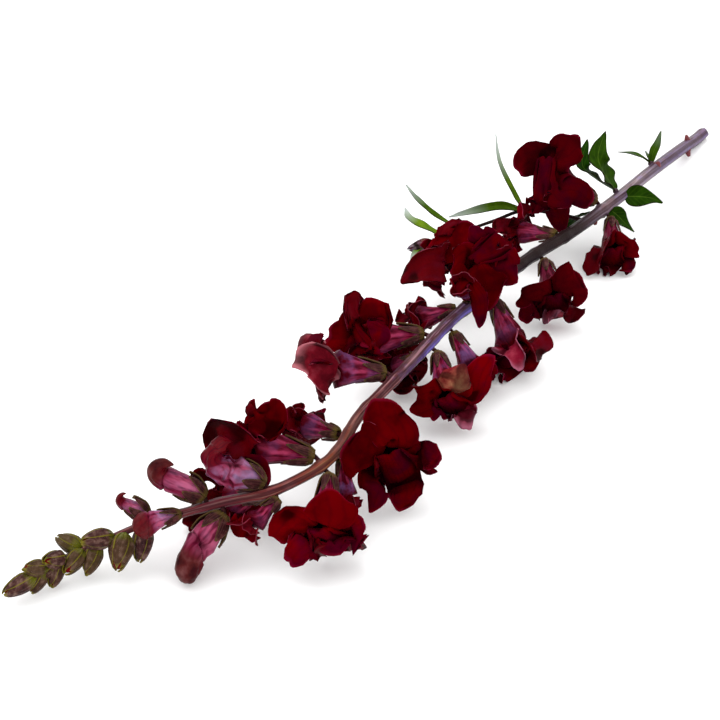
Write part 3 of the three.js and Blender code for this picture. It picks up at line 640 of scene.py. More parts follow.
def stemPaint(look):
    paint, tree = newPaint("stem skin", Roughness=0.35, Sheen_Weight=0.02,
                           Sheen_Tint=(196, 176, 206), Specular_IOR_Level=0.06)
    along, across, edge, tint = traitsOf(tree, *traitNames)
    misty = ramp(tree, along, (0.3, 0.05), (0.42, 0.45), (0.55, 0.1), (0.68, 0.05), (0.8, 0.5))
    cloud = ramp(tree, speckle(tree, 130, 4, 0.6), (0.5, 0), (0.7, 1))
    patch = blend(tree, times(tree, cloud, misty), ramp(tree, along, *look["skin"]), (128, 116, 180))
    warm = blend(tree, mottled(tree, 75, 3, (0.52, 0), (0.7, 0.4)), patch, (160, 118, 118))
    # fine streaks that run with the stem; the light ones are painted sheen
    grain = drawnNoise(tree, edge, tint, times(tree, along, 9.0), 3.2)
    lit = blend(tree, ramp(tree, grain, (0.52, 0), (0.62, 0.45)), warm, ramp(tree, along, *look["sheenStreaks"]))
    streaked = blend(tree, ramp(tree, grain, (0.36, 0.6), (0.46, 0)), lit, (58, 22, 30))
    # a painted blue-violet highlight along one side, and again near the cut
    facing = calc(tree, "MULTIPLY_ADD", tint, -0.2, times(tree, edge, 0.98))
    flank = ramp(tree, facing, (0.86, 0), (0.96, 1), smoothly=True)
    reach = ramp(tree, along, (0.36, 0), (0.41, 0.95), (0.5, 0.95), (0.54, 0.1), (0.7, 0.1), (0.9, 0.5))
    broken = times(tree, reach, mottled(tree, 90, 3, (0.36, 0.35), (0.56, 1)))
    violet = blend(tree, times(tree, flank, broken), streaked,
                   ramp(tree, along, (0.5, (118, 104, 190)), (0.7, (104, 92, 130))))
    # painted shade in the grooves between the ridges
    grooved = blend(tree, ramp(tree, across, (0, 0.6), (0.6, 0)), violet, (51, 24, 27))
    # a painted shadow over the stretch that the flowers and leaves shade
    paintedShadow = ramp(tree, along, (0.54, 0), (0.58, 0.88), (0.67, 0.88), (0.7, 0))
    return endPaint(paint, blend(tree, paintedShadow, grooved, (24, 12, 9)), speckle(tree, 1300, 4), 0.35)


def cutPaint():
    paint, tree = newPaint("cut end", Roughness=0.75)
    tone = mottled(tree, 700, 3, (0.35, (76, 44, 58)), (0.7, (113, 83, 86)))
    return endPaint(paint, tone, speckle(tree, 1800, 3), 0.5)


def leafPaint():
    paint, tree = newPaint("leaf green", Roughness=0.45, Specular_IOR_Level=0.015)
    along, across, edge, tint = traitsOf(tree, *traitNames)
    base = blend(tree, tint, mottled(tree, 220, 4, (0.3, (8, 30, 0)), (0.7, (22, 56, 0))),
                 mottled(tree, 220, 4, (0.3, (72, 104, 8)), (0.7, (104, 131, 25))))
    spread = calc(tree, "ABSOLUTE", across)
    slant = calc(tree, "MULTIPLY_ADD", spread, -0.28, along)
    veins = times(tree, stripes(tree, slant, 7, 8), 0.16)
    veined = blend(tree, veins, base, (71, 104, 20))
    ribbed = blend(tree, ramp(tree, spread, (0, 0.5), (0.06, 0)), veined, (94, 121, 40))
    edged = blend(tree, ramp(tree, edge, (0.75, 0), (1, 0.75)), ribbed, (34, 22, 17))
    # grey-white toward the tip, on the yellower leaves
    paleTips = times(tree, ramp(tree, along, (0.48, 0), (0.92, 0.95)), ramp(tree, tint, (0.15, 0), (0.5, 1)))
    height = calc(tree, "SUBTRACT", speckle(tree, 900, 4), times(tree, veins, 2.5))
    return endPaint(paint, blend(tree, paleTips, edged, (176, 184, 180)), height)


def hairPaint():
    paint, tree = newPaint("silver hairs", Roughness=0.5)
    return endPaint(paint, mottled(tree, 200, 2, (0.3, (132, 106, 104)), (0.7, (172, 158, 155))))


velvet, petalBack, petalRim = velvetPaint(petalLook), backPaint(petalLook), rimPaint(petalLook)
closedSkin = nosePaint(petalLook)
faded = {"tan": fadedPaint("tan petal", ((96, 12, 20), (150, 76, 60), (186, 130, 94)), (120, 24, 36)),
         "pink": fadedPaint("pink petal", ((74, 2, 14), (106, 10, 26), (146, 50, 64)), (186, 108, 118)),
         "rose": fadedPaint("rose petal", ((84, 4, 20), (120, 12, 38), (150, 46, 66)), (178, 100, 124))}
sepalSkin, budSkin, stemSkin, cutSkin = sepalPaint(), budPaint(), stemPaint(stemLook), cutPaint()
leafSkin, hairSkin = leafPaint(), hairPaint()
print("paints made")


# the stem

stem = {
    "line": [
        (-231, 18, 8), (-215, 16.5, 9), (-202, 10, 12), (-188, 3, 15), (-175, -6.5, 18), (-163, -15, 20),
        (-151, -25, 22), (-140, -30, 24), (-130, -32, 25), (-120, -31, 25), (-98, -23, 25), (-82, -20, 25),
        (-54, -15, 25), (-18, -8, 24.5), (6, -6, 24), (43, -2, 22.5), (82, -1, 20), (129, 4, 16),
        (168, 10, 12), (210, 16, 7), (235, 20, 2.8), (244, 21, 2.6)],
    "radiusAt": ((0, 40, 78, 110, 200, 300, 420, 500), (0.7, 1.2, 1.9, 2.0, 2.4, 2.7, 3.0, 3.1)),
    "spike": 56.0,         # the closed buds' stretch at the tip
    "gap": 0.3,
    "step": 1.6,           # between rings
    "ridges": 5, "ridgeDepth": 0.05, "sides": 60, "spikeSides": 24,
    "swell": (0.12, 2.2),  # thickening where a flower stalk leaves, and its reach
    "stubs": (             # leaf stalks cut short: place, turn from the top, length, radius
        (474, -15, 3.2, 1.5), (470, 140, 3.2, 1.6), (428, 20, 1.6, 1.7), (352, 150, 1.4, 1.4)),
    "stubShape": (1.6, 1.4, 1.15, 0.95, 0.8, 0.65, 0.4),
}
stemSamples = curveThrough(stem["line"], 2400)
stemRun = lengthAlong(stemSamples)
stemLength = stemRun[-1]


def stemPlace(at):
    at = min(max(at, 0.0), stemLength)
    before, after = (pointAt(stemSamples, stemRun, min(max(at + d, 0), stemLength)) for d in (-0.5, 0.5))
    return pointAt(stemSamples, stemRun, at), unit(after - before), float(np.interp(at, *stem["radiusAt"]))


def flower(*row, **own):
    # own: how far the lobes spread, how misty the tube is (dark below 0), and which lobes are pale
    keys = ("at", "heading", "rise", "roll", "size", "open", "seed")
    return {"spread": 1, "tint": 0.15, "faded": {}, **dict(zip(keys, row)), **own}


# the flowers, from the tip down: place along the stem, heading in plan and rise above the surface,
# roll about the flower's own axis, size, how far it is open, and the seed of its chances
blooms = [
    flower(50, 122, 40, 0, 0.62, 0.1, 3), flower(61, 161, 6, 0, 0.7, 0.05, 5),
    flower(71, 127, 38, 0, 0.88, 0.2, 7), flower(76, -176, -22, 0, 0.95, 0.2, 9),
    flower(93, 134, 32, 150, 0.86, 0.5, 11), flower(91, 84, -36, 30, 0.85, 1, 20),
    flower(96, 178, -16, 0, 0.55, 0.6, 17), flower(116, -142, -15, -60, 1.0, 1, 19),
    flower(117, 132, 16, 150, 1.05, 1, 24, spread=1.1), flower(127, -128, -42, 0, 0.6, 0.5, 23, tint=0.9),
    flower(139, 92, -12, 90, 0.7, 1, 25, tint=0.3), flower(157, -130, -4, -65, 1.12, 1, 27),
    flower(178, 147, 16, 150, 1.0, 1, 29, spread=0.7, tint=0.4, faded={0: "pink", 2: "pink", 3: "pink"}),
    flower(200, 62, -43, 0, 0.72, 1, 31),
    flower(206, -130, -16, -40, 0.98, 1, 33, tint=0.3, faded={1: "tan", 3: "rose"}),
    flower(212, 146, 5, 150, 1.05, 1, 35), flower(224, -108, -34, 0, 0.7, 0.8, 37, tint=0.6),
    flower(242, -165, 50, 0, 0.62, 0.5, 39, tint=0.5), flower(239, 138, -14, 150, 0.75, 1, 41),
    flower(256, -122, -22, -70, 1.05, 1, 43, tint=0.3, faded={0: "rose"}),
    flower(271, -176, 44, -30, 0.88, 1, 45),
    flower(300, -134, -14, -60, 0.98, 1, 47, tint=-1.0, faded={3: "rose"}),
    flower(287, 134, 2, 150, 1.26, 1, 49, spread=0.85), flower(324, 100, -10, 0, 0.8, 1, 51, spread=0.8),
    flower(361, 144, 32, 150, 1.2, 1, 53, spread=0.9, tint=-0.9),
    flower(361, -142, -16, -60, 0.9, 1, 55, tint=-0.6),
]


def stemLine(start, end):
    # the stretch's middle line as a string of points with girth and place
    steps = max(2, round((end - start) / stem["step"]))
    places = np.linspace(start, end, steps + 1)
    girth = np.interp(places, *stem["radiusAt"])
    swell, reach = stem["swell"]
    for bloom in blooms:
        girth = girth * (1 + swell * np.exp(-((places - bloom["at"]) / reach) ** 2))
    mesh = bpy.data.meshes.new("stem line")
    mesh.from_pydata([stemPlace(at)[0].tolist() for at in places], [(i, i + 1) for i in range(steps)], [])
    storeTrait(mesh, "girth", girth)
    storeTrait(mesh, "along", places / stemLength)
    return mesh


def addStretch(part, start, end, sides, capPaint):
    host = link(stemLine(start, end), "stem line")
    runTree(host, stemTree, {"Sides": sides, "Ridges": stem["ridges"], "Ridge depth": stem["ridgeDepth"],
                             "Material": stemSkin})
    before = len(part["faces"])
    addBaked(part, baked(host), aboveSurface)
    # the end caps are the faces with more than four corners
    for i in range(before, len(part["faces"])):
        if len(part["faces"][i]) > 4:
            part["paint"][i] = capPaint


def addRod(part, line, radii, sides, paint=0, **traits):
    # a plain limb along a short line of points
    line, angles = np.asarray(line, float), roundAngles(sides)
    grid = []
    for point, way, radius in zip(line, np.gradient(line, axis=0), radii):
        way = unit(way)
        side = unit(np.cross(up, way) if abs(way[2]) < 0.98 else np.cross([1.0, 0, 0], way))
        rise = np.cross(way, side)
        grid.append(point + radius * (np.outer(np.cos(angles), rise) - np.outer(np.sin(angles), side)))
    addGrid(part, aboveSurface(np.array(grid)), paint, closed=True, capStart=True, capEnd=True, **traits)


def buildStem():
    part = newPart()
    addStretch(part, stem["spike"] + stem["gap"], stemLength, stem["sides"], 1)
    for at, turn, long, radius in stem["stubs"]:
        point, ahead, girth = stemPlace(at)
        out = turned(np.cross(ahead, unit(np.cross(up, ahead))), ahead, turn)
        start = point + out * girth * 0.4
        end = point + out * (girth + long * 0.8) - ahead * long * 0.5
        line = start + (end - start) * np.linspace(0, 1, len(stem["stubShape"]))[:, None]
        addRod(part, line, np.array(stem["stubShape"]) * radius, 16, along=0.12, across=0.4, tint=1)
    finishPiece(part, "stem_skin", [stemSkin, cutSkin], ["stem"])


buildStem()
print("stem made")


# sepals: the blade that the ring tree repeats

sepals = {
    "reach": 2.8,        # from the stem's skin to the sepals' floor
    "foot": 4.3,         # half the floor's width, for flowers that lean along the stem
    "knee": 1.5,         # where the stalk bends, behind the floor
    "length": 9.8, "halfAngle": 35, "pinch": 1.4, "skin": 0.55, "lime": 0.12,
    "flare": 0.1, "closedFlare": -0.2,
    "rib": 0.55, "lap": 0.28, "wave": 0.16,
    "ring": {"Count": 5, "Turn jitter": 0.07, "Length jitter": 0.09},
    "rows": 12, "columns": 10,
    "rest": (1.5, 0.3),  # how softly and how near the surface it can lie
    "stalk": ((0, 0.3, 0.6, 0.8, 0.92, 1.0), (0.8, 1.1, 2.0, 2.7, 2.9)),
    "stalkRoot": 0.95,   # radius at the stem, the same at any size
    "stalkSteps": 14,
    "stalkLow": 0.9,     # the least height of its middle line
    "stalkPast": 1.6,    # how far it goes on inside the sepals
}


def sepalBlades(radiusAt, length, halfAngle, flare, skin, tint, pinch, seed):
    # a pointed blade that hugs a round body, in the flower's own axes, and its ring of five
    t = np.linspace(0, 1, sepals["rows"] + 1)[:, None]
    c = np.linspace(-1, 1, sepals["columns"] + 1)[None, :]
    width = halfAngle * (1 - t ** pinch) ** 0.85 + 1.2
    z = length * t - 0.25 * length * c ** 2 * (t * (1 - t))
    r = radiusAt(length * t) + 0.3 + flare * t ** 3
    foot = smooth(t / 0.16)
    r, z = r * mix(0.7, 1, foot), z - 0.8 * (1 - foot)
    # a rib along the middle, one side over its neighbour, and shallow waves
    r = (r + sepals["rib"] * (1 - np.abs(c)) ** 1.5 * (1 - 0.5 * t) * foot + sepals["lap"] * c
         + sepals["wave"] * np.cos(3 * math.pi * c) * (1 - t * t))
    angle = np.radians(c * width)
    grid = np.stack([r * np.sin(angle), r * np.cos(angle), z + 0 * c], axis=2)
    blade = newPart()
    addGrid(blade, grid, along=t, across=c, edge=np.maximum(np.abs(c) ** 3, t ** 6), tint=tint)
    return bakedBlade(blade, "sepal blade", skin, ringTree,
                      {**sepals["ring"], "Seed": seed, "Material": sepalSkin})


def flowerAxes(bloom):
    # origin on the sepals' floor, z along the flower, y to its upper lip
    point, toCut, radius = stemPlace(bloom["at"])
    axis = wayAt(bloom["heading"], bloom["rise"])
    outward = unit(axis - toCut * (axis @ toCut))
    upper = turned(unit(-toCut + axis * (toCut @ axis)), axis, bloom["roll"])
    lean = math.sqrt(max(0.0, 1 - (axis @ outward) ** 2))
    reach = max(sepals["reach"], sepals["foot"] * lean) * bloom["size"]
    base = point + outward * (radius + stem["gap"] + reach)
    knee = base - axis * sepals["knee"] * bloom["size"]
    root = knee + outward * (radius * 0.5 - (knee - point) @ outward)
    return {"base": base, "knee": knee, "root": root, "axis": axis, "upper": upper,
            "side": unit(np.cross(upper, axis))}


def placed(axes, points, soft, least):
    # from the flower's own axes to the spray's; what would dip under the surface bends along it
    p = np.asarray(points, float)
    out = (axes["base"] + p[..., 0:1] * axes["side"] + p[..., 1:2] * axes["upper"]
           + p[..., 2:3] * axes["axis"])
    z = out[..., 2]
    low = np.maximum(least, soft * np.exp((np.minimum(z, soft) - soft) / soft))
    out[..., 2] = np.where(z < soft, low, z)
    return out


petals = {
    "tube": 19.0, "footRadius": 2.4, "waistAt": 10.0, "waistRadius": 4.6, "mouthRadius": 7.4,
    "flatten": 0.87, "floor": 0.6, "skin": 0.34,
    "overlap": 0.34,    # how far a lobe's sides pass over its neighbours
    "fold": 1.15, "ruffle": 0.35, "curl": 1.6, "crumple": 1.0,
    "shield": 4.2,      # how far a lobe's sides bend back from its middle
    "palate": 7.4,      # how high the lower lip's mound stands above the flower's axis
    "palateOut": 4.0,   # and how far it comes forward
    "columns": 18,      # to each lobe
    "side": 0.985,      # the share of a lobe's half width that they reach
    "tubeRows": 12, "collarRows": 12, "lobeRows": 12, "grain": 48,
    "notchDepths": (5, 8, 5, 9, 9),  # of the skin left at the notch before each lobe
    "rest": (3.0, 0.22),
}
# two lobes above, three below: middle, half width and length; angles run round the mouth from the top
lobeShapes = ((-40, 40, 22.0), (40, 40, 22.0), (112, 32, 17.5), (180, 36, 18.5), (248, 32, 17.5))


def waistAt(z, size):
    # radius of the tube inside the sepals
    share = np.clip(z - petals["floor"], 0, None) / (petals["waistAt"] * size)
    return size * mix(petals["footRadius"], petals["waistRadius"], share)


# closed flowers: length, hook and where it starts, girth along the body, the lip that folds over,
# how flat the end is, how brown or misty the skin, and where they aren't the usual, a bow along
# the body, a slit and the side it is on, folds, painted shade in the pleats, and how long the sepals are
noseUsual = {"dip": 0, "slit": 0, "slitAt": 0, "crumple": 0.3, "lines": 0.3, "sepals": 1}
noses = {
    1: dict(noseUsual, long=1.25, hook=120, start=0.45, dip=0.35, lip=0.62, flat=0.5, brown=0.5, mist=0.5,
            brownFrom=0.3, sepals=1.25,
            girth=((0, 0.2, 0.45, 0.7, 0.88, 1), (2.8, 4.4, 4.3, 2.9, 1.9, 0.4))),
    2: dict(noseUsual, long=1.25, hook=-35, start=0.3, lip=0.7, flat=0.95, brown=0.35, mist=0.9,
            brownFrom=0.55, slit=0.2,
            girth=((0, 0.2, 0.45, 0.7, 0.85, 0.95, 1), (2.4, 3.6, 5.2, 7.0, 6.4, 3.6, 0.6))),
    3: dict(noseUsual, long=1.6, hook=165, start=0.5, dip=0.2, lip=0.62, flat=0.62, brown=1.0,
            mist=0.15, brownFrom=0.5,
            girth=((0, 0.2, 0.45, 0.62, 0.75, 0.88, 1), (2.8, 4.9, 5.4, 4.9, 4.0, 2.2, 0.4))),
    4: dict(noseUsual, long=1.55, hook=-70, start=0.45, lip=0.52, flat=0.85, brown=1.0, mist=0.1, slit=0.6,
            slitAt=2.4, brownFrom=0.5,
            girth=((0, 0.2, 0.42, 0.52, 0.66, 0.84, 0.95, 1), (2.8, 5.4, 6.2, 5.2, 5.2, 4.8, 3.2, 0.7))),
    5: dict(noseUsual, long=2.0, hook=140, start=0.34, dip=0.2, lip=0.4, flat=0.36, brown=0.04, mist=1.0,
            brownFrom=0.35, slit=0.5, crumple=1.5, lines=0.9,
            girth=((0, 0.12, 0.28, 0.44, 0.56, 0.72, 0.9, 1), (2.8, 5.2, 6.8, 6.4, 4.8, 3.4, 3.2, 0.6))),
}
noseMake = {"rows": 70, "sides": 60, "pleat": 0.08, "rest": (1.5, 0.1)}


def buildCalyx(number, bloom, axes):
    size, nose = bloom["size"], noses.get(number)

    def bodyAt(z):
        if nose:
            return np.interp(z / petals["tube"] / nose["long"] / size, *nose["girth"]) * size + 0.5
        return waistAt(z, size) + 0.5

    long = sepals["length"] * size * (nose["sepals"] if nose else 1)
    flare = sepals["closedFlare" if nose else "flare"] * size
    blades = sepalBlades(bodyAt, long, sepals["halfAngle"], flare, sepals["skin"], sepals["lime"],
                         sepals["pinch"], bloom["seed"])
    squeeze = np.array([petals["flatten"], 1.0, 1.0])
    part = newPart()
    addBaked(part, blades, lambda p: placed(axes, p * squeeze, *sepals["rest"]))
    # the flower stalk, and the round floor that the sepals stand on
    root, knee, base = axes["root"], axes["knee"], axes["base"]
    line = curveThrough([root, mix(root, knee, 0.6), knee, mix(knee, base, 0.6), base,
                         base + axes["axis"] * sepals["stalkPast"] * size], sepals["stalkSteps"])
    line[:, 2] = np.maximum(line[:, 2], sepals["stalkLow"])
    t = np.linspace(0, 1, len(line))
    places, radii = sepals["stalk"]
    thick = np.interp(t, places, (sepals["stalkRoot"] / size,) + radii) * size
    addRod(part, line, thick, 18, along=0.5 * (1 - t)[:, None], tint=0.2)
    finishPiece(part, f"calyx_{number:02d}_sepals", [sepalSkin], [f"calyx_{number:02d}"])


# the flower's petals

def lobesOf(bloom):
    # each lobe's own length, turn, waves and ripples, by chance
    chance, finer = dice(bloom["seed"]), dice(bloom["seed"] + 500)
    lobes = []
    for i, (centre, half, long) in enumerate(lobeShapes):
        lobes.append({
            "centre": centre, "half": half,
            "long": long * (1 + 0.14 * next(chance)),
            "turn": ((104 if i < 2 else 84) + 24 * next(chance)) * bloom["spread"],
            "wave": 1.2 + 0.8 * next(chance),
            "phase": math.pi * next(chance),
            "cupped": 2.2 * next(chance),
            "ripple": [math.pi * next(finer) for _ in range(4)],
            "lap": 1 if next(finer) > 0 else -1,
        })
    return lobes


def mouthAt(bloom):
    return mix(petals["waistRadius"], petals["mouthRadius"], smooth(bloom["open"] * 1.4))


def petalLine(bloom, lobes, i, a):
    # radius, height and slope of the skin from the mouth to the rim in one column, and the notch's share
    size, opening, lobe = bloom["size"], bloom["open"], lobes[i]
    grown = mix(0.5, 1, opening) * size
    notch = petals["notchDepths"][i if a < 0 else (i + 1) % 5]
    rounded = math.sqrt(max(0.0, 1 - min(abs(a), petals["side"]) ** 2.6))
    wavy = 1 + 0.035 * math.sin(a * 5 + lobe["ripple"][0])
    reach = (notch + (lobe["long"] - notch) * rounded) * grown * mix(1, wavy, smooth((1 - abs(a)) * 4))
    other = lobes[(i + (4 if a < 0 else 1)) % 5]
    turn = mix(lobe["turn"], other["turn"], 0.5 * smooth((abs(a) - 0.4) / 0.6)) * petals["fold"]
    fromTop = abs((lobe["centre"] + a * lobe["half"] + 540) % 360 - 180)
    # the slope starts inward at the mouth and has turned outward half way
    below = smooth((fromTop - 70) / 45)
    end = mix(mix(-80, turn, smooth(opening)), mix(-70, turn, smooth(opening)), below)
    start, over = mix(-52 * opening, -55, below), 0.5
    grain = petals["grain"]
    r, z = mouthAt(bloom) * size, petals["floor"] + petals["tube"] * size
    radii, heights = [r], [z]
    for slope in np.radians(mix(start, end, smooth((np.arange(grain) + 0.5) / grain / over))):
        r = max(r + math.sin(slope) * reach / grain, 0.9 * size)
        z += math.cos(slope) * reach / grain
        radii.append(r)
        heights.append(z)
    q = np.linspace(0, 1, grain + 1)
    slopes = np.radians(mix(start, end, smooth(q / over)))
    return q, np.array(radii), np.array(heights), slopes, min(notch * grown / reach, 0.97), fromTop


def lobeSpots(bloom, lobes, i, a, stops):
    # points of one column at the given stops, each stop a share of the way past the notch
    size, opening, lobe = bloom["size"], bloom["open"], lobes[i]
    q, radii, heights, slopes, split, fromTop = petalLine(bloom, lobes, i, a)
    at = np.where(stops < 0, (1 + stops) * split, split + stops * (1 - split))
    r, z, slope = np.interp(at, q, radii), np.interp(at, q, heights), np.interp(at, q, slopes)
    past = np.clip(stops, 0, 1)
    inner = smooth((1 - abs(a)) * 3)
    ripple = lobe["ripple"]
    # waves, a ruffle, a curled rim, one side over the neighbour, and both sides bent back
    ruffle = math.sin(a * 7 + ripple[2]) + 0.4 * math.sin(a * 12 + ripple[3])
    lift = (lobe["wave"] * math.sin(a * 4.2 + lobe["phase"]) + lobe["cupped"] * a * a) * at ** 2 * inner
    lift = lift + petals["ruffle"] * ruffle * at ** 3 * inner
    lift = lift + petals["curl"] * smooth((past - 0.72) / 0.28) * (0.5 + 0.5 * math.sin(a * 5 + ripple[1]))
    lift = lift + 0.8 * lobe["lap"] * a * smooth((abs(a) - 0.2) / 0.8) * smooth(past * 2)
    lift = (lift + petals["shield"] * a * a * smooth(past * 1.4)) * opening * size
    angle = np.radians(lobe["centre"] + a * lobe["half"] * (1 + petals["overlap"] * smooth(past * 1.6)))
    r, z = np.maximum(r + lift * np.cos(slope), 0.7 * size), z - lift * np.sin(slope)
    x, y = r * np.sin(angle) * petals["flatten"], r * np.cos(angle)
    # the lower lip's mound, with a dip along its middle
    mound = smooth((fromTop - 80) / 34) * np.sin(math.pi * np.clip(1 + stops, 0, 1)) ** 1.3
    dip = 1.3 * math.exp(-((fromTop - 180) / 12) ** 2)
    crest = (petals["palate"] - dip - 0.035 * x * x / size ** 2) * size
    y = mix(y, np.maximum(y, crest), mound)
    return np.stack([x, y, z + petals["palateOut"] * size * mound], axis=1), at


# how the petals of some flowers lie: the flower and its petal, counted round from the upper lip's left,
# then the middle and tip in the flower's own axes, its widest width, how far its sides bend back, its twist
petalLays = {
    (6, 0): ((-3, 11.5, 22.5), (2, 15.5, 24.5), 12, 2, 75),
    (6, 1): ((9, 9, 25.5), (16, 13, 26.5), 12, 2, 10), (8, 0): ((-9, 9, 26), (-16, 3, 29), 15, 3, 70),
    (8, 1): ((6.5, 13, 23), (5, 14, 16), 21, 3.5, -25), (8, 2): ((12, 3, 25), (15, -1.5, 21), 13, 2, -30),
    (8, 3): ((3.5, 1.5, 29), (-1, -7, 29.5), 22, 3, 5),
    (8, 4): ((-6, 4.5, 31.5), (-14.5, -2.5, 34.5), 13, 2, 20),
    (9, 0): ((-3, 12, 24.5), (-0.5, 15.5, 25.5), 5, 1, 10),
    (9, 1): ((4.5, 10, 20.5), (2.5, 17.5, 20.5), 18, 2, 70),
    (9, 2): ((7, 1, 32.5), (0, -7, 36.5), 17, 3.5, -35),
    (9, 3): ((3, -10, 23), (3.5, -13, 13.5), 14, 2, -70), (11, 0): ((0, 5, 18), (0, 8.5, 20.5), 7, 1, 75),
    (11, 1): ((5, 5, 17.5), (3, 9, 21), 9, 1.5, 15), (11, 2): ((7, 0.5, 18), (8.5, -1, 20), 6, 1, 40),
    (12, 0): ((-10, 13.5, 30), (-15, 13.5, 24), 24, 3.5, 25),
    (12, 1): ((3.5, 16.5, 22.5), (4, 21, 13.5), 18, 3.5, -35),
    (12, 2): ((13, -1.5, 30.5), (16.5, -7.5, 29), 14, 3, -15),
    (12, 3): ((0, -9.5, 35), (-4, -17.5, 37), 15, 3, 0),
    (12, 4): ((-8.5, -3.5, 35), (-14.5, -11.5, 36), 12, 2.5, 35),
    (13, 0): ((-3, 7.5, 30), (-3, 6, 34.5), 13, 2, 25), (13, 1): ((6, 5.5, 29), (1, 7.5, 33.5), 15, 3, -30),
    (13, 2): ((7.5, 1.5, 31.5), (-1.5, 2, 37), 14, 2.5, -10),
    (13, 3): ((6, -3.5, 24.5), (3.5, -6, 21.5), 10, 2, -65),
    (13, 4): ((0, 1.5, 27.5), (-1.5, -1, 28.5), 9, 2, 60),
    (15, 0): ((-7.5, 7.5, 24.5), (-14.5, 5, 23), 16, 3, 35),
    (15, 1): ((8, 12.5, 25), (12, 12.5, 18.5), 13, 2.5, -20),
    (15, 2): ((16, 1.5, 19), (22, -0.5, 10.5), 13, 3, -45),
    (15, 3): ((4, -1.5, 31), (0.5, -10.5, 33), 12, 2.5, -5),
    (15, 4): ((-5.5, 2, 27.5), (-10.5, -2, 27.5), 10, 2, 30),
    (16, 0): ((0.5, 1.5, 32.5), (-1.5, 3, 40.5), 18, 3, 25),
    (16, 1): ((10.5, 5, 26), (8, 13, 26.5), 24, 4, 75), (16, 2): ((11.5, -5, 24), (6, -9, 19), 20, 4, 40),
    (16, 3): ((3.5, -7.5, 28.5), (-2, -8.5, 31), 11, 2, 70),
    (16, 4): ((-1, -1.5, 30.5), (-3.5, -2.5, 36), 10, 2, -40),
    (18, 4): ((-8, 0.5, 13), (-14.5, 10, 7), 8, 1.5, 10),
    (19, 1): ((4, 1, 20.5), (2.5, -0.5, 25.5), 8, 2, -70),
    (20, 0): ((-4, 10.5, 33), (-2.5, 4, 38.5), 7.5, 1.5, -15),
    (20, 1): ((5.5, 8.5, 28.5), (11.5, 2.5, 31), 15, 3, 65),
    (20, 2): ((5, -2, 31.5), (3, -7, 33.5), 9, 2, -70),
    (20, 3): ((-6, -7, 35), (-8.5, -7.5, 35), 13, 2.5, -60),
    (20, 4): ((-12.5, -4.5, 32), (-16, -8.5, 32), 12, 2.5, 50),
    (21, 0): ((-11, 11, 24), (-17, 15.5, 13.5), 24, 4, -20),
    (21, 1): ((2, 10, 27), (2.5, 16.5, 25), 13, 3, -30),
    (21, 2): ((8.5, -3, 22.5), (13.5, -5.5, 21), 10, 2, 20),
    (21, 3): ((-1, -5.5, 20.5), (2.5, -6, 21), 5, 1, 10),
    (21, 4): ((-10, -1.5, 19.5), (-15.5, 1, 11.5), 14, 3, 10),
    (22, 0): ((-11.5, 7.5, 26), (-16.5, 3, 25.5), 11, 2.5, 5),
    (22, 1): ((8.5, 8.5, 25), (16, 4, 21.5), 21, 4, -10),
    (22, 2): ((7.5, -3, 28), (4.5, -9.5, 30), 10, 2, 60),
    (22, 3): ((-3, 0, 30.5), (-6, -6.5, 30), 8, 1.5, 35),
    (22, 4): ((-10, 2.5, 26.5), (-16, -6, 28.5), 9, 2, 35),
    (23, 0): ((-4.5, 10.5, 34), (-2.5, 10.5, 38.5), 6, 1.5, 0),
    (23, 1): ((12, 3.5, 25), (12, 14.5, 23), 25, 4, 65),
    (23, 2): ((8.5, -8, 37.5), (-1, -10, 47.5), 14, 3, -20),
    (23, 3): ((3, -10.5, 32.5), (-3.5, -11.5, 36.5), 10, 2, 50),
    (23, 4): ((-3.5, 1.5, 35), (-5, 1.5, 43), 10, 2, -40),
    (24, 0): ((-6, 10, 21.5), (-2.5, 10.5, 27), 9, 2, -30),
    (24, 1): ((1, 10, 19.5), (3.5, 9.5, 24), 7, 1.5, 40),
    (25, 0): ((-5.5, 6.5, 35.5), (-9.5, -1.5, 40.5), 17, 3.5, 50),
    (25, 1): ((8, 13.5, 29.5), (5, 23.5, 26), 19, 4, 30),
    (25, 2): ((14.5, -5.5, 20.5), (12.5, -7.5, 8), 15, 3, 10),
    (25, 3): ((6, -13.5, 25), (1.5, -22.5, 13.5), 13, 3, -50),
    (25, 4): ((-2, -12, 29.5), (-5.5, -19, 28.5), 10, 2, -55),
    (26, 0): ((-8.5, 4, 29), (-13, -4.5, 31), 10, 2, 20),
    (26, 1): ((7.5, 5, 22.5), (13.5, 1, 20.5), 9.5, 2, 5),
    (26, 2): ((5.5, -2, 28), (4.5, -5.5, 28.5), 8, 2, -55),
    (26, 3): ((-1, -5.5, 29.5), (-4, -5.5, 28.5), 9, 2, -55),
    (26, 4): ((-8, -3.5, 30), (-9.5, -5, 30.5), 9, 2, 40),
}


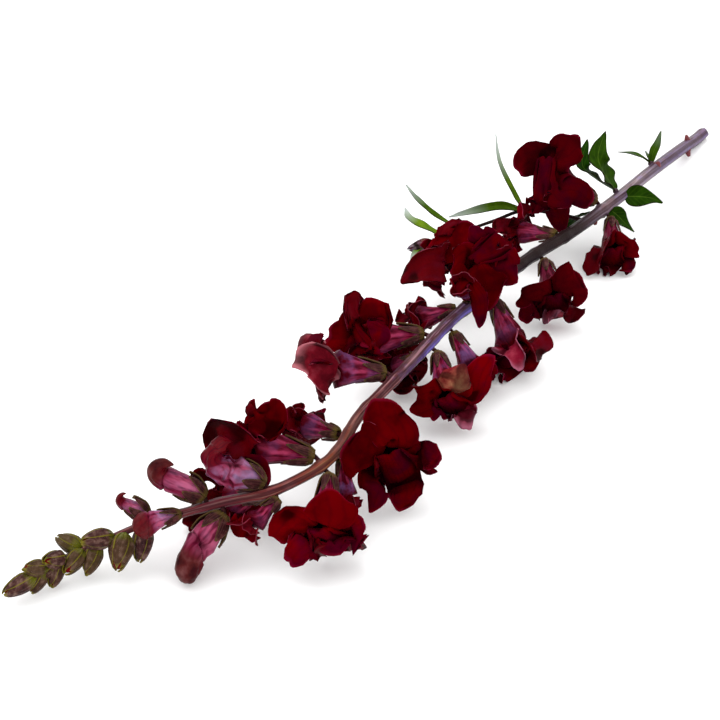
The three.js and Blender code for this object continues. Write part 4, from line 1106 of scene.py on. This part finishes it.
def layPetal(lobe, root, way, lay, past):
    # a petal that grows from its stretch of the collar to its own middle and tip
    middle, tip, wide, shield, twist = lay
    ripple, phase, wave = lobe["ripple"], lobe["phase"], lobe["wave"] * 0.7
    foot, ahead = root.mean(0), unit(way.mean(0))
    reach = np.linalg.norm(np.array(middle) - foot)
    line = curveThrough([foot, foot + ahead * reach * 0.35, middle, tip], 60)
    run = lengthAlong(line)
    length, run = run[-1], run / run[-1]
    chord = root[-1] - root[0]
    even = np.linspace(-1, 1, len(root))
    grid = np.zeros((len(past), len(root), 3))
    for j, t in enumerate(past):
        across = mix(even, np.sin(even * math.pi / 2), smooth(t * 2.5))
        rounded = mix(0.28, 1.0, np.clip(1 - np.abs(across) ** 2.3, 0, 1) ** 0.6)
        notched = (1 - 0.02 * np.exp(-(across / 0.2) ** 2) * (1 + math.sin(ripple[1]))
                   + 0.03 * np.sin(5 * across + ripple[0]))
        for k, s in enumerate(t * rounded * mix(1, notched, smooth(t * 2))):
            c = across[k]
            tangent = unit(pointAt(line, run, min(s + 0.05, 1)) - pointAt(line, run, max(s - 0.05, 0)))
            side = turned(unit(chord - tangent * (chord @ tangent)), tangent, twist * smooth(s * 1.3))
            half = mix(np.linalg.norm(chord), wide, smooth(s * 2.2)) / 2
            ruffle = math.sin(c * 7 + ripple[2]) + 0.2 * math.sin(c * 12 + ripple[3])
            curl = smooth((t - 0.7) / 0.3) * (0.35 + 0.5 * math.sin(c * 4 + ripple[1])) * smooth(s * 2)
            lift = shield * c ** 2 * smooth(s * 1.8)
            lift += wave * math.sin(c * 3.6 + phase) * s ** 2
            lift += petals["ruffle"] * ruffle * s ** 2 * t
            lift += petals["curl"] * curl
            free = pointAt(line, run, s) + side * half * c + np.cross(tangent, side) * lift
            grid[j, k] = mix(root[k] + way[k] * length * s, free, smooth(s / 0.34))
    return grid


def buildPetals(number, bloom, axes):
    size, pale, lobes = bloom["size"], bloom["faded"], lobesOf(bloom)
    kinds = sorted(set(pale.values()))
    columns, tint = petals["columns"], bloom["tint"]
    mouth, floor, foot = mouthAt(bloom), petals["floor"], petals["footRadius"]
    collar = -np.linspace(1, 0, petals["collarRows"] + 1)
    t = np.linspace(0, 1, petals["tubeRows"] + 1)[:-1]
    points, places, turns = [], [], []
    for i, lobe in enumerate(lobes):
        for a in np.arange(columns) / columns * 2 - 1:
            angle = math.radians(lobe["centre"] + a * lobe["half"])
            pleat = 1 + 0.022 * math.cos(angle * 10) + 0.03 * math.cos(angle * 5 + 1)
            r = (foot + (mouth - foot) * t ** 1.28) * size * mix(pleat, 1, t ** 4)
            tube = np.stack([r * math.sin(angle) * petals["flatten"], r * math.cos(angle),
                             floor + petals["tube"] * size * t], axis=1)
            rest, at = lobeSpots(bloom, lobes, i, a, collar)
            points.append(np.concatenate([tube, rest]))
            places.append(np.concatenate([t, 1 + at]))
            turns.append(angle / (2 * math.pi) * 6)
    grid = np.array(points).transpose(1, 0, 2)
    total = len(points)

    def shaped(p):
        # small folds by chance, deeper toward the rim
        p = p.copy()
        for q in p.reshape(-1, 3):
            outward = smooth((q[2] - 9 * size) / (14 * size))
            q += crumpled(q, 0.15, 1.2, 0.33, 0.4) * petals["crumple"] * outward
        return placed(axes, p, *petals["rest"])

    part = newPart()
    addGrid(part, shaped(grid), closed=True, capStart=True, along=np.array(places).T,
            across=np.array(turns)[None, :], tint=tint)
    ringStart = part["count"] - 1 - total
    past = np.linspace(0, 1, petals["lobeRows"] + 1)[1:] ** 0.85  # rows closer together toward the rim
    across = np.linspace(-petals["side"], petals["side"], columns + 1)
    edge = np.maximum(past[:, None] ** 8, np.abs(across)[None, :] ** 12)
    for i, lobe in enumerate(lobes):
        pick = [(i * columns + k) % total for k in range(columns + 1)]
        if (number, i) in petalLays:
            root = grid[-1][pick]
            way = np.array([unit(v) for v in root - grid[-3][pick]])
            blade = layPetal(lobe, root, way, petalLays[number, i], past)
            at = np.broadcast_to(0.45 + 0.55 * past[:, None], edge.shape)
        else:
            spots = [lobeSpots(bloom, lobes, i, a, past) for a in across]
            blade = np.array([s[0] for s in spots]).transpose(1, 0, 2)
            at = np.array([s[1] for s in spots]).T
        turn = np.broadcast_to((i + across / 2 + 0.5)[None, :], at.shape)
        start = addPoints(part, shaped(blade), along=1 + at, across=turn, edge=edge, tint=tint)
        low = [ringStart + k for k in pick]
        for j in range(len(past)):
            high = [start + j * len(pick) + k for k in range(len(pick))]
            part["faces"] += [(low[k], high[k], high[k + 1], low[k + 1]) for k in range(columns)]
            low = high
        part["paint"] += [3 + 3 * kinds.index(pale[i]) if i in pale else 0] * columns * len(past)
    paints = [petalBack, velvet, petalRim] + [faded[kind] for kind in kinds for _ in range(3)]
    finishPiece(part, f"corolla_{number:02d}_petals", paints,
                [f"corolla_{number:02d}"], petals["skin"])


def buildNose(number, bloom, axes):
    # petals still folded over each other: a closed body whose end hooks over
    size, nose = bloom["size"], noses[number]
    length, hook = petals["tube"] * nose["long"] * size, math.radians(nose["hook"])
    rows, sides = noseMake["rows"], noseMake["sides"]
    hookWay = unit(up - axes["axis"] * axes["axis"][2]) * (1 if hook >= 0 else -1)
    local = np.array([hookWay @ axes["side"], hookWay @ axes["upper"], 0.0])
    cross = np.cross(up, local)
    spot = np.array([0.0, 0, petals["floor"]])
    angles = roundAngles(sides)
    seamAt = nose["lip"] + 0.12 * np.cos(angles - 0.5)
    grid, browned, creases = [], [], []
    for u in np.arange(rows + 1) / rows:
        lean = (abs(hook) * smooth((u - nose["start"]) / (1.02 - nose["start"]))
                - nose["dip"] * math.sin(math.pi * u))
        if u:
            spot = spot + (up * math.cos(lean) + local * math.sin(lean)) * length / rows
        # the seam where one petal folds over the rest, the pleats, and a slit at the lip
        over = smooth((u - seamAt) / 0.015)
        groove = np.exp(-((u - seamAt) / 0.016) ** 2) * smooth(u * 8)
        pleats = noseMake["pleat"] * np.abs(np.cos(2.5 * (angles + 1.4 * u))) ** 8 * smooth(u * 2.5)
        facing = np.clip(np.cos(angles - nose["slitAt"]), 0, 1) ** 3
        slit = nose["slit"] * np.exp(-((u - nose["lip"] + 0.05) / 0.045) ** 2) * facing
        ring = np.interp(u, *nose["girth"]) * size * (
            1 - pleats + 0.10 * over - 0.13 * groove - slit + 0.03 * np.cos(3 * angles + 5 * u))
        flat = mix(1, nose["flat"], smooth((u - 0.6) / 0.35))
        out = local * math.cos(lean) - up * math.sin(lean)
        grid.append(spot + np.outer(np.cos(angles) * ring * flat, out)
                    + np.outer(np.sin(angles) * ring * 0.9 / flat ** 0.4, cross))
        # the seam, the slit and the pleats carry painted shade as a tint below 0; elsewhere the tint is the
        # mist
        crease = np.clip(0.7 * groove + 1.6 * slit + nose["lines"] * pleats / noseMake["pleat"], 0, 1)
        creases.append(nose["mist"] * (1 - crease) - crease)
        browned.append(np.clip(-np.cos(angles) * 0.6 + 0.7, 0, 1) * smooth((u - nose["brownFrom"]) / 0.2)
                       * nose["brown"])
    grid = np.array(grid)
    for p in grid.reshape(-1, 3):
        p += crumpled(p, 0.24, 1.0, 0.5, 0.3) * nose["crumple"] * smooth((p[2] - 3) / 7)
    part = newPart()
    addGrid(part, placed(axes, grid, *noseMake["rest"]), closed=True, capStart=True, capEnd=True,
            along=np.linspace(0, 1, rows + 1)[:, None], across=angles[None, :] / (2 * math.pi),
            edge=np.array(browned), tint=np.array(creases))
    finishPiece(part, f"corolla_{number:02d}_petals", [closedSkin], [f"corolla_{number:02d}"],
                smoothing=10)


for number, bloom in enumerate(blooms, 1):
    axes = flowerAxes(bloom)
    buildCalyx(number, bloom, axes)
    if number in noses:
        buildNose(number, bloom, axes)
    else:
        buildPetals(number, bloom, axes)
print("flowers made:", len(blooms))


# the closed buds at the tip: place, heading, rise, length, width, stalk, and how olive the sepals are
buds = [
    (5, 160, -16, 11.5, 6.2, 0, 0.1), (11, 171, 28, 9, 5.6, 0.8, 0.5), (18, -177, 28, 9, 6, 0.9, 0.1),
    (14, 171, -26, 8, 5.2, 0.6, 0.2), (10, 177, -44, 8.5, 5, 0.8, 0.3), (16, -162, -46, 8.5, 5.4, 0.8, 0.2),
    (25, 102, 6, 9.5, 6.4, 1.5, 0.7), (25, -171, -17, 9.5, 6, 0.9, 0.5), (31, -168, -41, 10.5, 6.4, 1, 0.5),
    (37, 168, 19, 12, 7, 1.2, 0.1), (41, -147, -26, 13, 8.6, 1.4, 0.4), (49, -156, -53, 12, 7, 1.2, 0.0),
]
budMake = {
    "body": ((0, 0.08, 0.3, 0.55, 0.8, 0.93, 1.0), (0.3, 0.66, 0.96, 0.92, 0.68, 0.44, 0.16)),
    "sides": 20, "rows": 14, "core": 0.97, "coreGirth": 0.8, "halfAngle": 46, "flare": -0.1, "skin": 0.3,
    "pinch": 7.0, "stalk": (0.75, 0.7, 0.75, 0.95, 1.3), "rest": (1.0, 0.1),
}


def addBud(part, base, ahead, long, wide, tint, seed):
    make = budMake
    side = unit(np.cross(up, ahead))
    axes = {"base": base, "side": side, "upper": np.cross(ahead, side), "axis": ahead}

    def bodyAt(z):
        return np.interp(z / long, *make["body"]) * wide / 2

    angles, t = roundAngles(make["sides"]), np.linspace(0, 1, make["rows"])[:, None]
    z = t * long * make["core"]
    r = bodyAt(z) * make["coreGirth"]
    core = np.stack([r * np.sin(angles), r * np.cos(angles), z + 0 * angles], axis=2)
    addGrid(part, placed(axes, core, *make["rest"]), 2, closed=True, capStart=True, capEnd=True,
            along=t, across=angles[None, :] / (2 * math.pi), tint=0.1)
    blades = sepalBlades(lambda z: bodyAt(z) - 0.25, long, make["halfAngle"], make["flare"], make["skin"],
                         tint, make["pinch"], seed)
    addBaked(part, blades, lambda p: placed(axes, p, *make["rest"]), 1)


def buildSpike():
    part = newPart()
    addStretch(part, 0, stem["spike"], stem["spikeSides"], 0)
    for seed, (at, heading, rise, long, wide, stalk, olive) in enumerate(buds, 60):
        point, ahead = stemPlace(at)[0], wayAt(heading, rise)
        line = [point + ahead * d for d in np.linspace(0, stalk + 1.4, len(budMake["stalk"]))]
        addRod(part, line, budMake["stalk"], 10, along=0.0, across=0.5)
        addBud(part, point + ahead * stalk, ahead, long, wide, olive, seed)
    finishPiece(part, "bud_spike_sepals", [stemSkin, budSkin, closedSkin], ["bud_spike"])


buildSpike()
print("buds made:", len(buds))


# the leaves: midrib from root to tip, widest width, twist, how yellow the green is, and for some
# how early the blade widens and how full it is
leaves = {
    "leaf_01": [
        ([(131, 6.9, 18.3), (130, 12, 24), (130, 18, 32), (144, 24, 40)], 14, 10, 0.1),
        ([(131, 6.9, 18.3), (124, 14, 25), (121, 21, 31), (133, 27, 39)], 11, 15, 0.0),
    ],
    "leaf_02": [
        ([(133.5, 2.6, 15.6), (136.5, -3.5, 16.5), (140.5, -8, 15.5), (145, -12, 12.5)],
         11, 45, 0.05, (0.5, 1.15)),
    ],
    "leaf_03": [
        ([(117, 0.6, 16), (116.5, -4, 14.5), (118, -7.5, 11), (120, -12, 7)], 8.5, 35, 0.05, (0.55, 1.15)),
    ],
    "leaf_04": [
        ([(107, 3.8, 17.4), (102, 9, 15), (96, 9.5, 11), (90, 8, 6)], 8.5, 30, 0.0),
    ],
    "base_shoot": [
        ([(178, 15, 12), (181, 16, 17), (186, 17, 20), (194, 20, 23)], 4.6, 20, 0.2),
        ([(178, 15, 12), (174, 18, 16), (171, 22, 18), (166, 28, 19)], 3.8, 0, 0.2),
        ([(178, 15, 12), (177.5, 17, 16), (178, 19, 18)], 2, 0, 0.3),
    ],
    "side_shoot": [
        ([(90.5, 33, 15), (93.5, 41, 20), (101, 56, 29), (113, 68, 36)], 2.8, 0, 0.6),
        ([(90.5, 33, 15), (79.5, 39, 20), (65, 45.5, 21), (56, 52.5, 19)], 4.6, -42, 0.4),
        ([(51, 50.7, 10.6), (46.5, 59.5, 15), (45.5, 68, 17), (50.5, 75, 18)], 5.4, 0, 1.0),
        ([(57.6, 45.2, 13), (53.7, 59.7, 19), (55, 72, 23), (59, 81.5, 25)], 3.4, 0, 0.4),
        ([(46, 55.3, 8.6), (39, 58.3, 5.5), (32, 56.2, 5)], 3.2, 0, 1.0),
    ],
}
leafMake = {"rows": 30, "columns": 10, "skin": 0.5, "fold": 0.28, "wave": 0.05, "clear": 0.3}
shoot = {
    "line": [(95, 2, 19), (95, 18, 17), (90.5, 33, 15), (73, 38, 15), (57.6, 45.2, 13), (45, 56.3, 8)],
    "radius": 0.95, "taper": (1.1, 0.7),
    "budBase": (46, 55.3, 8.6), "budTip": (38.8, 62.4, 5), "budWide": 5.2,
}
joint = (0.6, 1.1, 1.4, 1.5, 1.4, 1.1, 0.6)  # radii of the swelling that joins a pair of leaves


def addLeaf(part, rib, wide, twist, tone, fullness=(0.8, 0.9)):
    rows, (early, full) = leafMake["rows"], fullness
    line = curveThrough(rib, rows)
    length = lengthAlong(line)[-1]
    c = np.linspace(-1, 1, leafMake["columns"] + 1)
    grid = []
    for j, (point, way) in enumerate(zip(line, np.gradient(line, axis=0))):
        t = j / rows
        way = unit(way)
        side = turned(unit(np.cross(way, up)), way, twist)
        half = 0.5 * (0.35 + 0.6 * (1 - t) + (wide - 0.9) * math.sin(math.pi * t ** early) ** full)
        wave = leafMake["wave"] * wide * math.sin(t * length * 0.55 + 1) * np.abs(c) ** 2 * np.sign(c)
        lift = np.abs(c) ** 1.3 * half * leafMake["fold"] + wave
        grid.append(point + np.outer(c * half, side) + np.outer(lift, unit(np.cross(side, way))))
    grid = np.array(grid)
    grid[..., 2] = np.maximum(grid[..., 2], leafMake["clear"])
    t, c = np.linspace(0, 1, rows + 1)[:, None], c[None, :]
    blade = newPart()
    addGrid(blade, grid, along=t, across=c, edge=np.maximum(np.abs(c) ** 3, t ** 10), tint=tone)
    addBaked(part, bakedBlade(blade, "leaf blade", leafMake["skin"]))


for name, blades in leaves.items():
    part = newPart()
    for blade in blades:
        addLeaf(part, *blade)
    if name == "side_shoot":
        stalk = curveThrough(shoot["line"], 60)
        radii = np.linspace(*shoot["taper"], len(stalk)) * shoot["radius"]
        addRod(part, stalk, radii, 14, 1, along=0.62, across=0.4)
        base, tip = np.array(shoot["budBase"]), np.array(shoot["budTip"], float)
        addBud(part, base, unit(tip - base), np.linalg.norm(tip - base), shoot["budWide"], 0.2, 90)
    elif len(blades) > 1:
        foot = np.array(blades[0][0][0], float)
        swell = foot + np.outer(np.linspace(-1.5, 1.5, len(joint)), [1.0, 0, 0])
        addRod(part, swell, joint, 14, 1, along=0.7, across=0.3)
    finishPiece(part, name + "_blades", [leafSkin, stemSkin, closedSkin], [name])
print("leaves made:", len(leaves))


# short silver hairs on the sepals and buds
hairs = {"Density": 2.2e5, "Length": 0.0005, "Thickness": 0.00003}


def buildHairs(name, hosts, seed):
    depsgraph = bpy.context.evaluated_depsgraph_get()
    part = newPart()
    for k, piece in enumerate(hosts):
        host = link(bpy.data.meshes.new_from_object(piece.evaluated_get(depsgraph)), "hair host")
        runTree(host, hairTree, {**hairs, "Seed": seed + k, "Material": hairSkin})
        addBaked(part, baked(host), lambda p: p / millimetre - middleShift)
    finishPiece(part, name, [hairSkin])


calyxPieces = [bpy.data.objects[f"calyx_{n:02d}_sepals"] for n in range(1, len(blooms) + 1)]
buildHairs("sepal_hairs", calyxPieces, 200)
buildHairs("bud_hairs", [bpy.data.objects["bud_spike_sepals"]], 300)
print("hairs made")


# floor, lights and camera
studio = {
    "floorHalf": 3.0, "floorDrop": 0.0002, "worldStrength": 1.56,
    "keyEnergy": 6.4, "keySize": 1.0, "keyHeading": 110.0, "keyHeight": 62.0, "keyFar": 1.5,
    "azimuth": -49.33, "elevation": 35.0, "lens": 75.0, "sensor": 36.0, "clip": (0.01, 20.0),
    "eye": (-0.45015, -0.33021, 0.3738),
}


def buildFloor():
    half = studio["floorHalf"]
    mesh = bpy.data.meshes.new("floor")
    corners = [(-half, -half, 0), (half, -half, 0), (half, half, 0), (-half, half, 0)]
    mesh.from_pydata(corners, [], [(0, 1, 2, 3)])
    paint, tree = newPaint("floor white", Roughness=0.9, Specular_IOR_Level=0.1)
    mesh.materials.append(endPaint(paint, mottled(tree, 3, 2, (0.3, 0.93), (0.7, 0.95))))
    floor = link(mesh, "floor")
    floor.location.z = -studio["floorDrop"]


def buildLights():
    scene = bpy.context.scene
    scene.world = bpy.data.worlds.new("studio")
    scene.world.use_nodes = True
    background = scene.world.node_tree.nodes["Background"]
    background.inputs["Color"].default_value = (1, 1, 1, 1)
    background.inputs["Strength"].default_value = studio["worldStrength"]
    light = bpy.data.lights.new("key", "AREA")
    light.shape, light.size, light.energy = "SQUARE", studio["keySize"], studio["keyEnergy"]
    key = link(light, "key")
    way = Vector(wayAt(studio["keyHeading"], studio["keyHeight"]))
    key.location = way * studio["keyFar"]
    key.rotation_euler = way.to_track_quat("Z", "Y").to_euler()
    scene.view_settings.view_transform = "Standard"


def buildCamera():
    lens = bpy.data.cameras.new("camera")
    lens.lens, lens.sensor_width = studio["lens"], studio["sensor"]
    lens.clip_start, lens.clip_end = studio["clip"]
    camera = link(lens, "camera")
    camera.location = studio["eye"]
    tilt, turn = math.radians(90 - studio["elevation"]), math.radians(studio["azimuth"])
    camera.rotation_euler = Euler((tilt, 0, turn))
    bpy.context.scene.camera = camera


buildFloor()
buildLights()
buildCamera()

print("spray finished")
